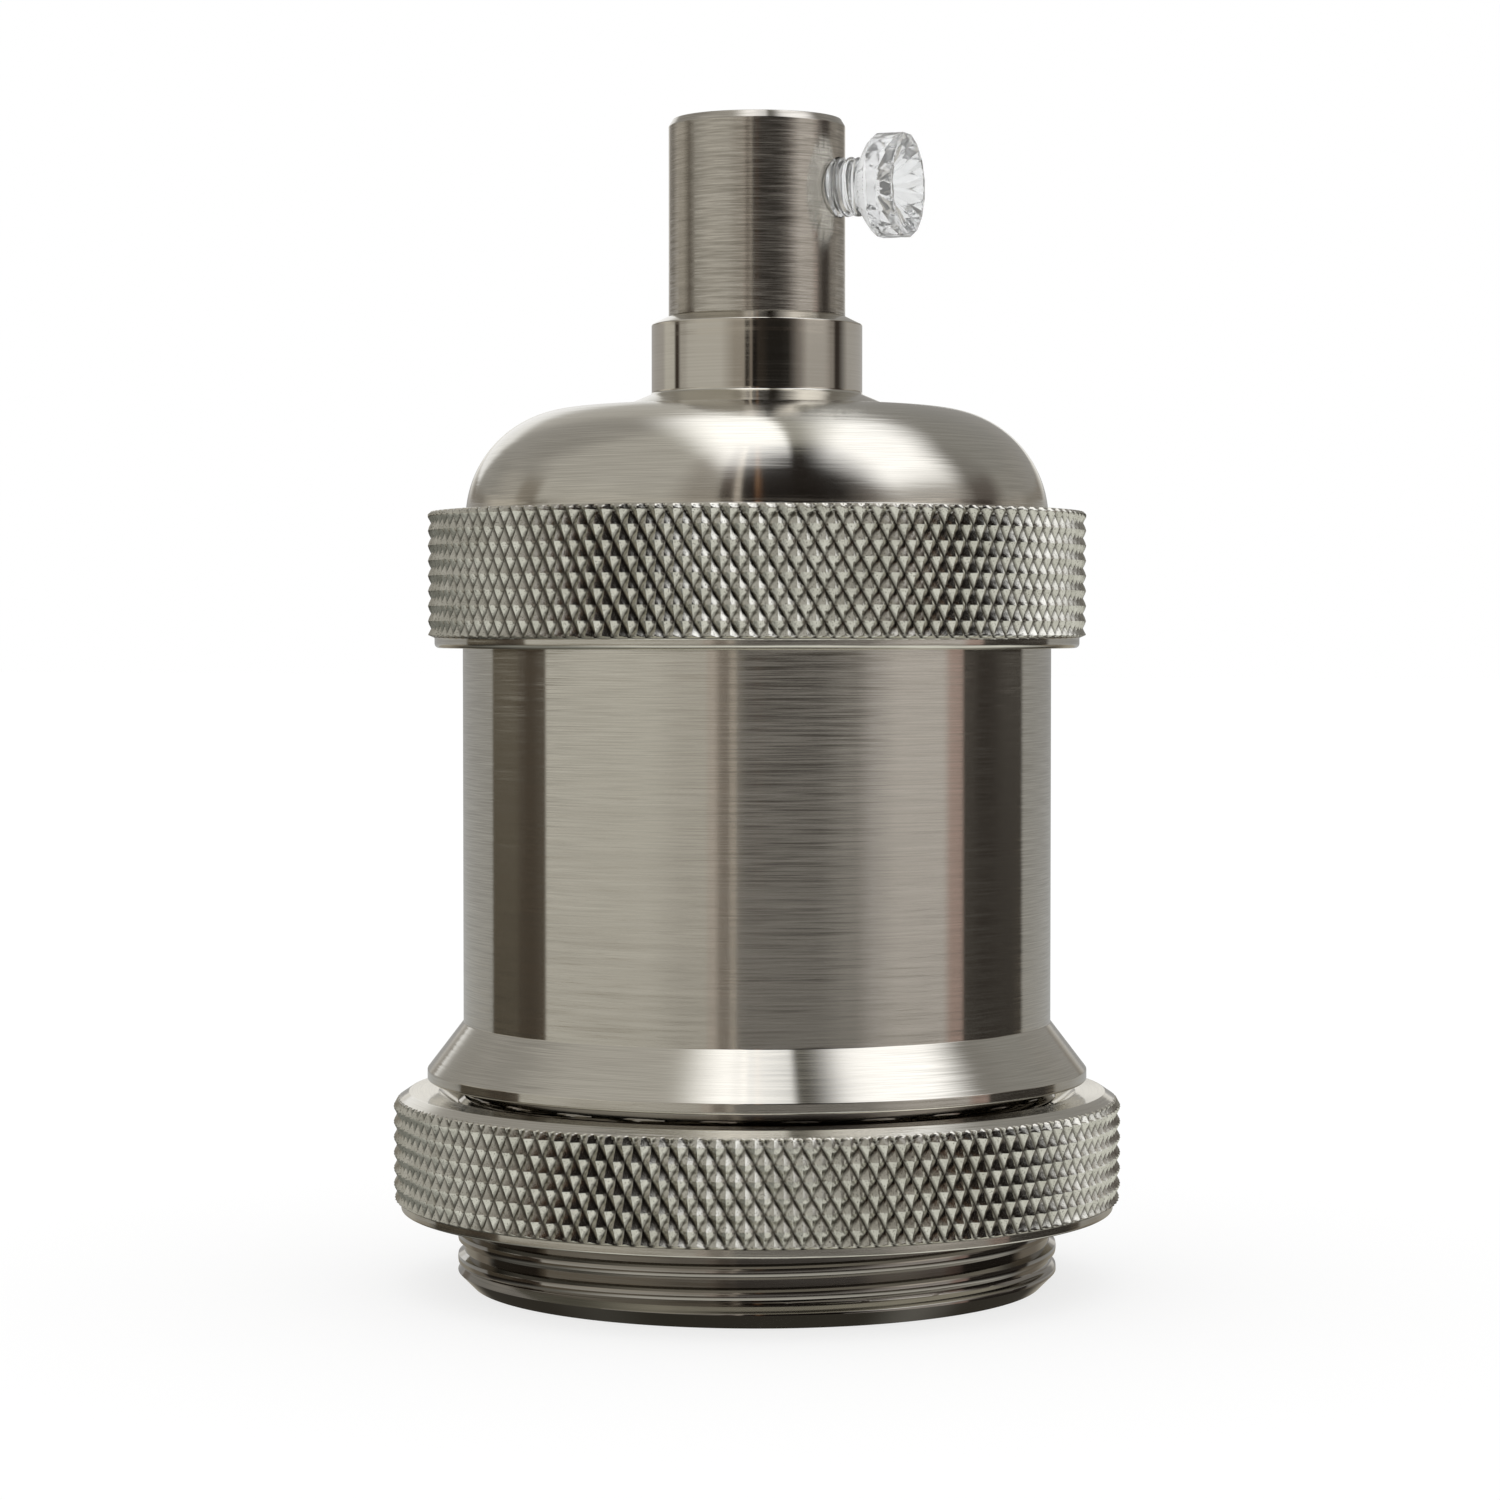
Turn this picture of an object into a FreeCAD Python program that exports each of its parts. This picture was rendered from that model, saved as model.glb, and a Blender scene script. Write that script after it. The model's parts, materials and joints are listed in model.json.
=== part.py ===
import FreeCAD, Part

import math
import os

# Screw lamp holder for a hanging light, in millimetres.
# +Z is up, the origin is on the axis at the rim of the threaded neck, where the bulb goes in.
# The clear thumb screw of the cord grip points along +X.

V = FreeCAD.Vector
ORIGIN = V(0, 0, 0)
Z_AXIS = V(0, 0, 1)

# Barrel: the turned shell that carries the bulb and the shade
barrel_wall = 1.5
neck_step = 0.4
rim_chamfer = 1.0
ledge_height = 2.0
flange_bottom = 14.0
flange_lip = 0.7
flange_cone = 3.2

# Shade ring: the knurled ring that clamps a shade against the flange
ring_wall = 4.35
ring_height = 8.0
ring_gap = 0.8
ring_foot_chamfer = 0.4
ring_foot_margin = 0.27
ring_bevel_width = 1.1
ring_bevel_height = 0.74
ring_entry_chamfer = 1.25

# Cap: dome, knurled band and collar turned from one piece
cap_wall = 2.4
cap_overlap = 6.75
cap_band_height = 9.25
cap_foot_chamfer = 0.3
cap_foot_margin = 0.5
cap_top_margin = 0.1
cap_top_chamfer = 0.2
cap_entry_chamfer = 0.4
cap_step = 2.65
dome_corner = 7.5
dome_rise = 6.95
dome_wall = 2.0
boss_width = 2.19
boss_height = 1.0
boss_fillet = 0.15
collar_step = 1.16
collar_top_above_dome = 6.22
collar_chamfer_height = 0.5

# Diamond knurl
knurl_pitch = 1.22
knurl_row = 1.03
knurl_depth = 0.36
knurl_set_in = 0.04

# Hollow threaded nipple with its nut, washer and earth strap
nipple_radius = 5.0
nipple_wall = 1.0
nipple_below_nut = 0.7
nipple_reach = 5.9
washer_margin = 0.7
washer_thickness = 0.8
nut_wall = 2.0
nut_thickness = 2.7
strap_thickness = 1.0
strap_margin = 0.9
strap_rim = 0.4
strap_dome_clear = 0.06
earth_screw_share = 0.58
earth_head_inset = 0.1
earth_screw_stand = 0.2
clamp_nut_clear = 0.42
clamp_thickness = 0.9

# Cord grip and its clear thumb screw
grip_wall = 0.97
grip_chamfer = 0.3
grip_chamfer_height = 0.5
cord_radius = 4.2
nipple_head_room = 0.4
thumb_rise = 2.3
thumb_drop = 4.8
thumb_radius = 2.0
thumb_travel = 1.8
thumb_tip_clear = 0.1
thumb_tip_chamfer = 0.35
thumb_cone = 1.1
thumb_head_radius = 3.54
thumb_head_thickness = 2.0
thumb_rim_wall = 0.45
thumb_dish_depth = 1.2
thumb_hub_radius = 0.7
thumb_flats = 16
thumb_flat_depth = 0.08
thumb_groove_half_angle = 32.0
thumb_groove_depth = 0.55

# Porcelain insert
porcelain_wall = 4.2
collar_wall = 2.0
collar_recess = 0.6
glaze_round = 0.5
socket_depth = 26.6
web_thickness = 9.4
wiring_height = 14.0
pocket_depth = 4.0
pocket_margin = 0.9
pocket_front = 4.6
pocket_width = 8.0
barrier_thickness = 3.0
barrier_height = 9.0
pillar_wall = 4.0
pillar_half_angle = 26.0

# Screw shell: rolled thread for the bulb cap, and the radii of all that is round it follow from it
shell_major_radius = 13.3
shell_thread_depth = 1.1
shell_pitch = 3.629
shell_sheet = 0.4
shell_recess = 0.9
shell_plain = 1.4

# Terminals, rivets and the sprung centre contact
block_length = 7.0
block_width = 8.0
block_height = 7.5
wire_radius = 1.4
wire_depth = 4.9
screw_height = 4.9
screw_radius = 1.6
screw_head_radius = 2.7
screw_head_height = 1.7
slot_width = 0.8
slot_depth = 0.8
rivet_radius = 1.4
rivet_head_radius = 2.1
rivet_head_height = 0.7
rivet_margin = 2.6
rivet_count = 3
rivet_seat = 1.8
neutral_rivet_inset = 4.1
live_rivet_inset = 2.0
contact_root_half = 2.2
contact_width = 5.0
contact_sheet = 0.4
contact_clear = 0.4
contact_tip_drop = 4.4
contact_tip_flat = 2.2
contact_tip_rise = 1.0
contact_tip_back = 0.5

# Clearances between pieces
thread_clear = 0.05
screwed_clear = 0.03
insert_clear = 0.3
shell_clear = 0.3
hole_clear = 0.1
corner_round = 0.5
insert_play = 0.1

# Heights and radii that follow from the sizes above
shell_minor_radius = shell_major_radius - shell_thread_depth
socket_radius = shell_major_radius + shell_sheet + shell_clear
insert_radius = socket_radius + porcelain_wall
insert_collar_radius = socket_radius + collar_wall
ledge_radius = insert_collar_radius + insert_clear
bore_radius = insert_radius + insert_clear
barrel_radius = bore_radius + barrel_wall
neck_radius = barrel_radius + neck_step
ring_radius = neck_radius + thread_clear + ring_wall
cap_radius = barrel_radius + thread_clear + cap_wall
flange_radius = cap_radius
dome_radius = cap_radius - cap_step
nut_width = 2 * (nipple_radius + nut_wall)
strap_ring_radius = nut_width / 2 + strap_margin
washer_radius = strap_ring_radius + washer_margin
nut_corner_radius = nut_width / 2 / math.cos(math.radians(30))
dome_inner_corner = dome_corner - dome_wall
dome_swell = math.sqrt(dome_inner_corner ** 2 - (dome_inner_corner - washer_thickness) ** 2)
dome_room = dome_radius - dome_corner + dome_swell
clamp_width = dome_room - strap_dome_clear - strap_rim - clamp_nut_clear - nut_corner_radius
strap_width = clamp_width + 2 * strap_rim
earth_screw_reach = nut_corner_radius + clamp_nut_clear + clamp_width / 2
earth_head_radius = clamp_width / 2 - earth_head_inset
earth_screw_radius = earth_head_radius * earth_screw_share
grip_radius = nipple_radius + screwed_clear + grip_wall
collar_radius = grip_radius + collar_step
boss_radius = collar_radius + boss_width
rivet_circle = shell_minor_radius - rivet_margin
shell_flange_hole = rivet_circle - rivet_margin
block_inner = rivet_circle - neutral_rivet_inset
contact_root = block_inner + live_rivet_inset
pocket_back = contact_root + contact_root_half + pocket_margin
socket_top = socket_depth
web_top = socket_top + web_thickness
pocket_top = socket_top + pocket_depth
barrel_height = web_top + wiring_height
ring_top = flange_bottom - ring_gap
ring_bottom = ring_top - ring_height
cap_bottom = barrel_height - cap_overlap
cap_band_top = cap_bottom + cap_band_height
dome_top = cap_band_top + dome_rise
dome_ceiling = dome_top - dome_wall
collar_top = dome_top + collar_top_above_dome
strap_top = dome_ceiling - washer_thickness
strap_bottom = strap_top - strap_thickness
nut_bottom = strap_bottom - nut_thickness
nipple_bottom = nut_bottom - nipple_below_nut
nipple_top = collar_top + nipple_reach
grip_step = nipple_top + nipple_head_room
thumb_z = grip_step + thumb_rise
grip_top = thumb_z + thumb_drop
thumb_tip = cord_radius + thumb_tip_clear
thumb_neck = grip_radius + thumb_travel
thumb_shoulder = thumb_neck + thumb_cone
thumb_face = thumb_shoulder + thumb_head_thickness


def outline_edges(start, *moves):
    """Edges in the XZ half plane: a move is an (r, z) end, or an arc's middle and end."""
    edges = []
    here = V(start[0], 0, start[1])
    for move in moves:
        if isinstance(move[0], tuple):
            middle, end = (V(p[0], 0, p[1]) for p in move)
            edges.append(Part.Arc(here, middle, end).toShape())
        else:
            end = V(move[0], 0, move[1])
            edges.append(Part.makeLine(here, end))
        here = end
    return edges


def turned(start, *moves):
    """A solid of revolution about Z from a closed outline."""
    wire = Part.Wire(outline_edges(start, *moves, start))
    return Part.Face(wire).revolve(ORIGIN, Z_AXIS, 360)


def polar(radius, angle, z):
    return V(radius * math.cos(angle), radius * math.sin(angle), z)


def arc_middle(centre, radius, degrees):
    angle = math.radians(degrees)
    return (centre[0] + radius * math.cos(angle), centre[1] + radius * math.sin(angle))


def disc(radius, height, z, x=0, y=0):
    return Part.makeCylinder(radius, height, V(x, y, z), Z_AXIS)


def block(length, width, height, x, y, z):
    """A box centred on x and y that stands on z."""
    return Part.makeBox(length, width, height, V(x - length / 2, y - width / 2, z))


def upright_edges(shape):
    return [e for e in shape.Edges if e.tangentAt(e.FirstParameter).isParallel(Z_AXIS, 0.01)]


def knurl_faces(radius, low, high):
    """Facets of a diamond knurl and the two shoulders that end it.

    Two sets of crossing grooves leave a four-sided pyramid in each diamond. Groove
    crossings lie on rows a half diamond apart and shift by half a pitch at each row.
    """
    count = round(2 * math.pi * radius / knurl_pitch)
    rows = max(2, round((high - low) / knurl_row))
    tip_radius = radius - knurl_set_in
    root_radius = tip_radius - knurl_depth

    def place(r, half_steps, row):
        return polar(r, math.pi * half_steps / count, low + (high - low) * row / rows)

    faces = []
    for row in range(rows + 1):
        for i in range(count):
            step = 2 * i + (row + 1) % 2
            tip = place(tip_radius, step, row)
            left = place(root_radius, step - 1, row)
            right = place(root_radius, step + 1, row)
            triangles = []
            if row < rows:
                above = place(root_radius, step, row + 1)
                triangles += [(tip, right, above), (tip, above, left)]
            if row > 0:
                below = place(root_radius, step, row - 1)
                triangles += [(tip, left, below), (tip, below, right)]
            faces += [Part.Face(Part.makePolygon([*t, t[0]])) for t in triangles]
    for row, z in ((0, low), (rows, high)):
        zigzag = []
        for step in range(2 * count + 1):
            r = tip_radius if step % 2 == (row + 1) % 2 else root_radius
            zigzag.append(place(r, step % (2 * count), row))
        rim = Part.Wire(Part.makeCircle(radius, V(0, 0, z), Z_AXIS))
        faces.append(Part.Face([rim, Part.makePolygon(zigzag)]))
    return faces


def knurled(radius, low, high, *moves):
    """A turned solid whose outer band from low to high is knurled.

    The outline starts at the top of the band and ends at its bottom.
    """
    plain = Part.Wire(outline_edges((radius, high), *moves)).revolve(ORIGIN, Z_AXIS, 360)
    shell = Part.Shell(plain.Faces + knurl_faces(radius, low, high))
    shell.sewShape()
    solid = Part.Solid(shell)
    return solid if solid.Volume > 0 else solid.reversed()


def barrel():
    lip_top = flange_bottom + flange_lip
    return turned(
        (ledge_radius, 0),
        (neck_radius - rim_chamfer, 0),
        (neck_radius, rim_chamfer),
        (neck_radius, flange_bottom),
        (flange_radius, flange_bottom),
        (flange_radius, lip_top),
        (barrel_radius, lip_top + flange_cone),
        (barrel_radius, barrel_height),
        (bore_radius, barrel_height),
        (bore_radius, ledge_height),
        (ledge_radius, ledge_height),
    )


def shade_ring():
    inner = neck_radius + thread_clear
    bevel_foot = ring_top - ring_bevel_height
    band_low = ring_bottom + ring_foot_chamfer + ring_foot_margin
    return knurled(
        ring_radius, band_low, bevel_foot - ring_foot_margin,
        (ring_radius, bevel_foot),
        (ring_radius - ring_bevel_width, ring_top),
        (inner + ring_entry_chamfer, ring_top),
        (inner, ring_top - ring_entry_chamfer),
        (inner, ring_bottom),
        (ring_radius - ring_foot_chamfer, ring_bottom),
        (ring_radius, ring_bottom + ring_foot_chamfer),
        (ring_radius, band_low),
    )


def cap():
    inner = barrel_radius + thread_clear
    centre = (dome_radius - dome_corner, dome_top - dome_corner)
    lift = cap_band_top - centre[1]
    dome_foot = centre[0] + math.sqrt(dome_corner ** 2 - lift ** 2)
    room = dome_radius - dome_wall
    bore = nipple_radius + screwed_clear
    band_high = cap_band_top - cap_top_chamfer - cap_top_margin
    band_low = cap_bottom + cap_foot_chamfer + cap_foot_margin
    start_angle = math.degrees(math.asin(lift / dome_corner))
    boss_top = dome_top + boss_height
    return knurled(
        cap_radius, band_low, band_high,
        (cap_radius, band_high + cap_top_margin),
        (cap_radius - cap_top_chamfer, cap_band_top),
        (dome_foot, cap_band_top),
        (arc_middle(centre, dome_corner, (start_angle + 90) / 2), (centre[0], dome_top)),
        (boss_radius, dome_top),
        (collar_radius + boss_fillet, boss_top),
        (collar_radius, boss_top + boss_fillet),
        (collar_radius, collar_top - collar_chamfer_height),
        (grip_radius + boss_fillet, collar_top),
        (bore, collar_top),
        (bore, dome_ceiling),
        (centre[0], dome_ceiling),
        (arc_middle(centre, dome_corner - dome_wall, 45), (room, centre[1])),
        (room, barrel_height),
        (inner, barrel_height),
        (inner, cap_bottom + cap_entry_chamfer),
        (inner + cap_entry_chamfer, cap_bottom),
        (cap_radius - cap_foot_chamfer, cap_bottom),
        (cap_radius, cap_bottom + cap_foot_chamfer),
        (cap_radius, band_low),
    )


def nipple():
    tube = disc(nipple_radius, nipple_top - nipple_bottom, nipple_bottom)
    return tube.cut(disc(nipple_radius - nipple_wall, nipple_top - nipple_bottom, nipple_bottom))


def lock_washer():
    ring = disc(washer_radius, washer_thickness, strap_top)
    return ring.cut(disc(nipple_radius + hole_clear, washer_thickness, strap_top))


def lock_nut():
    corners = [polar(nut_corner_radius, math.radians(60 * i), nut_bottom) for i in range(7)]
    prism = Part.Face(Part.makePolygon(corners)).extrude(V(0, 0, nut_thickness))
    rounding = nut_thickness * math.tan(math.radians(30)) / 2
    crown = turned(
        (0, nut_bottom), (nut_width / 2, nut_bottom),
        (nut_width / 2 + nut_thickness / 2, nut_bottom + rounding),
        (nut_width / 2 + nut_thickness / 2, nut_bottom + nut_thickness - rounding),
        (nut_width / 2, nut_bottom + nut_thickness), (0, nut_bottom + nut_thickness),
    )
    bore = disc(nipple_radius + screwed_clear, nut_thickness, nut_bottom)
    return prism.common(crown).cut(bore)


def earth_strap():
    """A flat ring on the nipple with an arm to the earth screw."""
    ring = disc(strap_ring_radius, strap_thickness, strap_bottom)
    reach = earth_screw_reach
    arm = block(strap_width, reach, strap_thickness, 0, -reach / 2, strap_bottom)
    end = disc(strap_width / 2, strap_thickness, strap_bottom, 0, -reach)
    hole = disc(nipple_radius + hole_clear, strap_thickness, strap_bottom)
    tapped = disc(earth_screw_radius + screwed_clear, strap_thickness, strap_bottom, 0, -reach)
    return ring.fuse([arm, end]).removeSplitter().cut([hole, tapped])


def earth_clamp():
    low = strap_bottom - clamp_thickness
    plate = block(clamp_width, clamp_width, clamp_thickness, 0, -earth_screw_reach, low)
    plate = plate.makeFillet(corner_round, upright_edges(plate))
    return plate.cut(disc(earth_screw_radius + hole_clear, clamp_thickness, low, 0, -earth_screw_reach))


def slotted_screw(shank_radius, shank_length, head_radius):
    """A cheese-head screw on Z: head above z = 0 with a slot along X, shank below."""
    crown = screw_head_height / 4
    solid = turned(
        (0, -shank_length), (shank_radius - crown, -shank_length), (shank_radius, crown - shank_length),
        (shank_radius, 0), (head_radius, 0), (head_radius, screw_head_height - crown),
        (head_radius - crown, screw_head_height), (0, screw_head_height),
    )
    slot = block(2 * head_radius, slot_width, slot_depth, 0, 0, screw_head_height - slot_depth)
    return solid.cut(slot)


def placed(shape, position, axis, angle):
    shape.Placement = FreeCAD.Placement(position, FreeCAD.Rotation(axis, angle))
    return shape


def earth_screw():
    shank = clamp_thickness + strap_thickness + earth_screw_stand
    screw = slotted_screw(earth_screw_radius, shank, earth_head_radius)
    return placed(screw, V(0, -earth_screw_reach, strap_bottom - clamp_thickness), V(1, 0, 0), 180)


def cord_grip():
    tube = turned(
        (nipple_radius + screwed_clear, collar_top),
        (grip_radius, collar_top),
        (grip_radius, grip_top - grip_chamfer_height),
        (grip_radius - grip_chamfer, grip_top),
        (cord_radius, grip_top),
        (cord_radius, grip_step),
        (nipple_radius + screwed_clear, grip_step),
    )
    tapped = Part.makeCylinder(thumb_radius + thread_clear, thumb_shoulder, V(0, 0, thumb_z), V(1, 0, 0))
    return tube.cut(tapped)


def grip_screw():
    """The thumb screw, turned about Z and then laid along +X."""
    dish = thumb_head_radius - thumb_rim_wall
    screw = turned(
        (0, thumb_tip), (thumb_radius - thumb_tip_chamfer, thumb_tip),
        (thumb_radius, thumb_tip + thumb_tip_chamfer), (thumb_radius, thumb_neck),
        (thumb_head_radius, thumb_shoulder), (thumb_head_radius, thumb_face), (dish, thumb_face),
        (thumb_hub_radius, thumb_face - thumb_dish_depth), (0, thumb_face - thumb_dish_depth),
    )
    flat_radius = (thumb_head_radius - thumb_flat_depth) / math.cos(math.pi / thumb_flats)
    turns = [2 * math.pi * i / thumb_flats for i in range(thumb_flats + 1)]
    corners = [polar(flat_radius, turn, thumb_tip) for turn in turns]
    screw = screw.common(Part.Face(Part.makePolygon(corners)).extrude(V(0, 0, thumb_face - thumb_tip)))
    half_width = thumb_groove_depth * math.tan(math.radians(thumb_groove_half_angle))
    hub = V(thumb_hub_radius, 0, thumb_face - thumb_dish_depth)
    rim = V(dish, 0, thumb_face)
    root = V(0, 0, thumb_groove_depth)
    rise = V(0, 0, thumb_dish_depth)
    side = V(0, half_width, 0)
    section = [hub - root, hub + side, hub + side + rise, hub - side + rise, hub - side, hub - root]
    groove = Part.Face(Part.makePolygon(section)).extrude(rim - hub)
    cuts = [groove.rotated(ORIGIN, Z_AXIS, 360 * i / thumb_flats) for i in range(thumb_flats)]
    return placed(screw.cut(cuts), V(0, 0, thumb_z), V(0, 1, 0), 90)


def porcelain_insert():
    low = collar_recess
    body = turned(
        (socket_radius, low + glaze_round),
        (socket_radius + glaze_round, low),
        (insert_collar_radius - glaze_round, low),
        (insert_collar_radius, low + glaze_round),
        (insert_collar_radius, ledge_height),
        (insert_radius, ledge_height),
        (insert_radius, web_top),
        (0, web_top),
        (0, socket_top),
        (socket_radius, socket_top),
    )
    pillar_height = barrel_height - insert_play - web_top
    wall = disc(insert_radius, pillar_height, web_top)
    wall = wall.cut(disc(insert_radius - pillar_wall, pillar_height, web_top))
    half = insert_radius * math.tan(math.radians(pillar_half_angle))
    pillars = wall.common(block(2 * half, 2 * insert_radius, pillar_height, 0, 0, web_top))
    barrier_length = 2 * (insert_radius - pillar_wall / 2)
    barrier = block(barrier_thickness, barrier_length, barrier_height, 0, 0, web_top)
    body = body.fuse([pillars, barrier]).removeSplitter()
    pocket_length = pocket_back + pocket_front
    pocket_middle = (pocket_front - pocket_back) / 2
    pocket = block(pocket_length, pocket_width, pocket_depth, pocket_middle, 0, socket_top)
    hole = rivet_radius + screwed_clear
    rivet_holes = [disc(hole, web_thickness, socket_top, x, y) for x, y in rivet_places()]
    contact_hole = disc(hole, web_thickness, socket_top, -contact_root, 0)
    return body.cut([pocket, contact_hole] + rivet_holes)


def rolled_wall(offset, low, high):
    """Arcs of the rolled thread from low up to high, crest and root in turn."""
    middle = (shell_minor_radius + shell_major_radius) / 2 + offset
    swing = (shell_major_radius - shell_minor_radius) / 2
    half_pitch = shell_pitch / 2
    moves = []
    for i in range(int((high - low) / half_pitch)):
        bulge = swing if i % 2 == 0 else -swing
        z = low + i * half_pitch
        moves.append(((middle + bulge, z + half_pitch / 2), (middle, z + half_pitch)))
    return moves


def screw_shell():
    """A rolled sheet tube with an inward flange that is riveted to the porcelain."""
    low = collar_recess + shell_recess
    thread_low = low + shell_plain
    flange_low = socket_top - shell_sheet
    inner = (shell_minor_radius + shell_major_radius) / 2
    outer = inner + shell_sheet
    outward = rolled_wall(shell_sheet, thread_low, flange_low - shell_plain)
    thread_high = outward[-1][1][1]
    ends = [(outer, thread_low)] + [end for _, end in outward]
    downward = [(outward[i][0], ends[i]) for i in reversed(range(len(outward)))]
    sheet = turned(
        (inner, low), (inner, thread_low),
        *rolled_wall(0, thread_low, flange_low - shell_plain),
        (inner, flange_low), (shell_flange_hole, flange_low),
        (shell_flange_hole, socket_top), (outer, socket_top),
        (outer, thread_high), *downward, (outer, low),
    )
    hole = rivet_radius + screwed_clear
    return sheet.cut([disc(hole, shell_sheet, flange_low, x, y) for x, y in rivet_places()])


def rivet_places():
    """Rivets on a circle; the first one is on +X under the neutral terminal."""
    turns = [2 * math.pi * i / rivet_count for i in range(rivet_count)]
    return [(rivet_circle * math.cos(t), rivet_circle * math.sin(t)) for t in turns]


def rivet(x, y, low, high):
    """A round-headed rivet whose head hangs below low and whose shank ends at high."""
    diagonal = math.sqrt(0.5)
    shoulder = (rivet_head_radius * diagonal, low - rivet_head_height * diagonal)
    solid = turned(
        (0, low - rivet_head_height),
        (shoulder, (rivet_head_radius, low)),
        (rivet_radius, low), (rivet_radius, high), (0, high),
    )
    return placed(solid, V(x, y, 0), Z_AXIS, 0)


def shell_rivet(index):
    x, y = rivet_places()[index]
    low = socket_top - shell_sheet
    if index == 0:
        return rivet(x, y, low, web_top + rivet_seat)
    peened = disc(rivet_head_radius, rivet_head_height, web_top, x, y)
    return rivet(x, y, low, web_top).fuse(peened).removeSplitter()


def contact_rivet():
    leaf_low = pocket_top - contact_clear - contact_sheet
    return rivet(-contact_root, 0, leaf_low - contact_clear, web_top + rivet_seat)


def centre_contact():
    """A leaf bent down from its rivet to the middle of the socket, with an upturned toe."""
    top = pocket_top - contact_clear
    left = -contact_root - contact_root_half
    bend = -contact_root + contact_root_half
    knee = -contact_tip_back
    toe = knee + contact_tip_flat
    low = top - contact_tip_drop
    lip = (toe + contact_tip_rise, low + contact_tip_rise)
    upper = [(left, top), (bend, top), (knee, low), (toe, low), lip]
    half = contact_width / 2
    line = Part.makePolygon([V(x, -half, z) for x, z in upper])
    strip = line.makeOffset2D(-contact_sheet, join=2, fill=True, openResult=True)
    leaf = strip.extrude(V(0, contact_width, 0))
    hole = disc(rivet_radius + contact_clear, contact_sheet, top - contact_sheet, -contact_root, 0)
    return leaf.cut(hole)


def terminal(side, rivet_x):
    """A brass block on the porcelain: wire hole from above, clamping screw from outside."""
    x = side * (block_inner + block_length / 2)
    solid = block(block_length, block_width, block_height, x, 0, web_top)
    solid = solid.makeFillet(corner_round, upright_edges(solid))
    wire = disc(wire_radius, wire_depth, web_top + block_height - wire_depth, x, 0)
    seat = disc(rivet_radius + screwed_clear, rivet_seat + hole_clear, web_top, rivet_x, 0)
    axis_point = V(x, 0, web_top + screw_height)
    tapped = Part.makeCylinder(screw_radius + screwed_clear, block_length / 2, axis_point, V(side, 0, 0))
    return solid.cut([wire, seat, tapped])


def terminal_screw(side):
    face = side * (block_inner + block_length)
    shank = block_length / 2 - wire_radius
    screw = slotted_screw(screw_radius, shank, screw_head_radius)
    return placed(screw, V(face, 0, web_top + screw_height), V(0, 1, 0), side * 90)


def build():
    nodes = {
        "barrel": barrel(),
        "shade_ring": shade_ring(),
        "cap": cap(),
        "nipple": nipple(),
        "lock_washer": lock_washer(),
        "lock_nut": lock_nut(),
        "earth_strap": earth_strap(),
        "earth_clamp": earth_clamp(),
        "earth_screw": earth_screw(),
        "cord_grip": cord_grip(),
        "grip_screw": grip_screw(),
        "porcelain_insert": porcelain_insert(),
        "screw_shell": screw_shell(),
        "contact_rivet": contact_rivet(),
        "centre_contact": centre_contact(),
        "neutral_terminal": terminal(1, rivet_circle),
        "live_terminal": terminal(-1, -contact_root),
        "neutral_screw": terminal_screw(1),
        "live_screw": terminal_screw(-1),
    }
    for index in range(rivet_count):
        nodes[f"shell_rivet_{index + 1}"] = shell_rivet(index)
    return nodes


os.makedirs("parts", exist_ok=True)
for name, shape in build().items():
    shape.exportStep(f"parts/{name}.step")
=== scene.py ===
import json
import math

import bpy
import numpy as np
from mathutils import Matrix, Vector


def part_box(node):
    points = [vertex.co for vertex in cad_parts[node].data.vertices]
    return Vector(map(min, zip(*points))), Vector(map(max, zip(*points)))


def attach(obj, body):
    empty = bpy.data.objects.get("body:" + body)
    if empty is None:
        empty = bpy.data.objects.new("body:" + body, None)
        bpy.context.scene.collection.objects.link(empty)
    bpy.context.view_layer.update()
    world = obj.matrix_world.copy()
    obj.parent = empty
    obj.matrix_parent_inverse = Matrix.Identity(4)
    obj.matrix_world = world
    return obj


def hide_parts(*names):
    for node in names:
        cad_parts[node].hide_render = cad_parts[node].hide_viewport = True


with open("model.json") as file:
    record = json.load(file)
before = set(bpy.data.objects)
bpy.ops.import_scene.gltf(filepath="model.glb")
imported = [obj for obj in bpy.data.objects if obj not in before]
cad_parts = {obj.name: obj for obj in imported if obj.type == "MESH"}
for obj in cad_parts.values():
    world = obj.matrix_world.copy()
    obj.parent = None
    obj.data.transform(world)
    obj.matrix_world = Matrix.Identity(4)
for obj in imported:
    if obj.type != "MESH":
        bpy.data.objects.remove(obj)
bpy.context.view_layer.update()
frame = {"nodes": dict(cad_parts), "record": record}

# Lamp holder: turned and knurled nickel-plated shells, a clear thumb screw and a porcelain socket.
# Lengths are in millimetres until a mesh is written, which is in metres.
MM = 0.001
TURN = 2 * math.pi


def box_mm(node):
    """Lowest and highest corner of a CAD node in millimetres."""
    low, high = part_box(node)
    return np.array(low) / MM, np.array(high) / MM


# Radii and heights read from the frame
barrel_high = box_mm("barrel")[1]
ring_low, ring_high = box_mm("shade_ring")
cap_low, cap_high = box_mm("cap")
grip_low, grip_high = box_mm("cord_grip")
nipple_low, nipple_high = box_mm("nipple")
shell_low, shell_high = box_mm("screw_shell")
thumb_low, thumb_high = box_mm("grip_screw")

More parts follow.
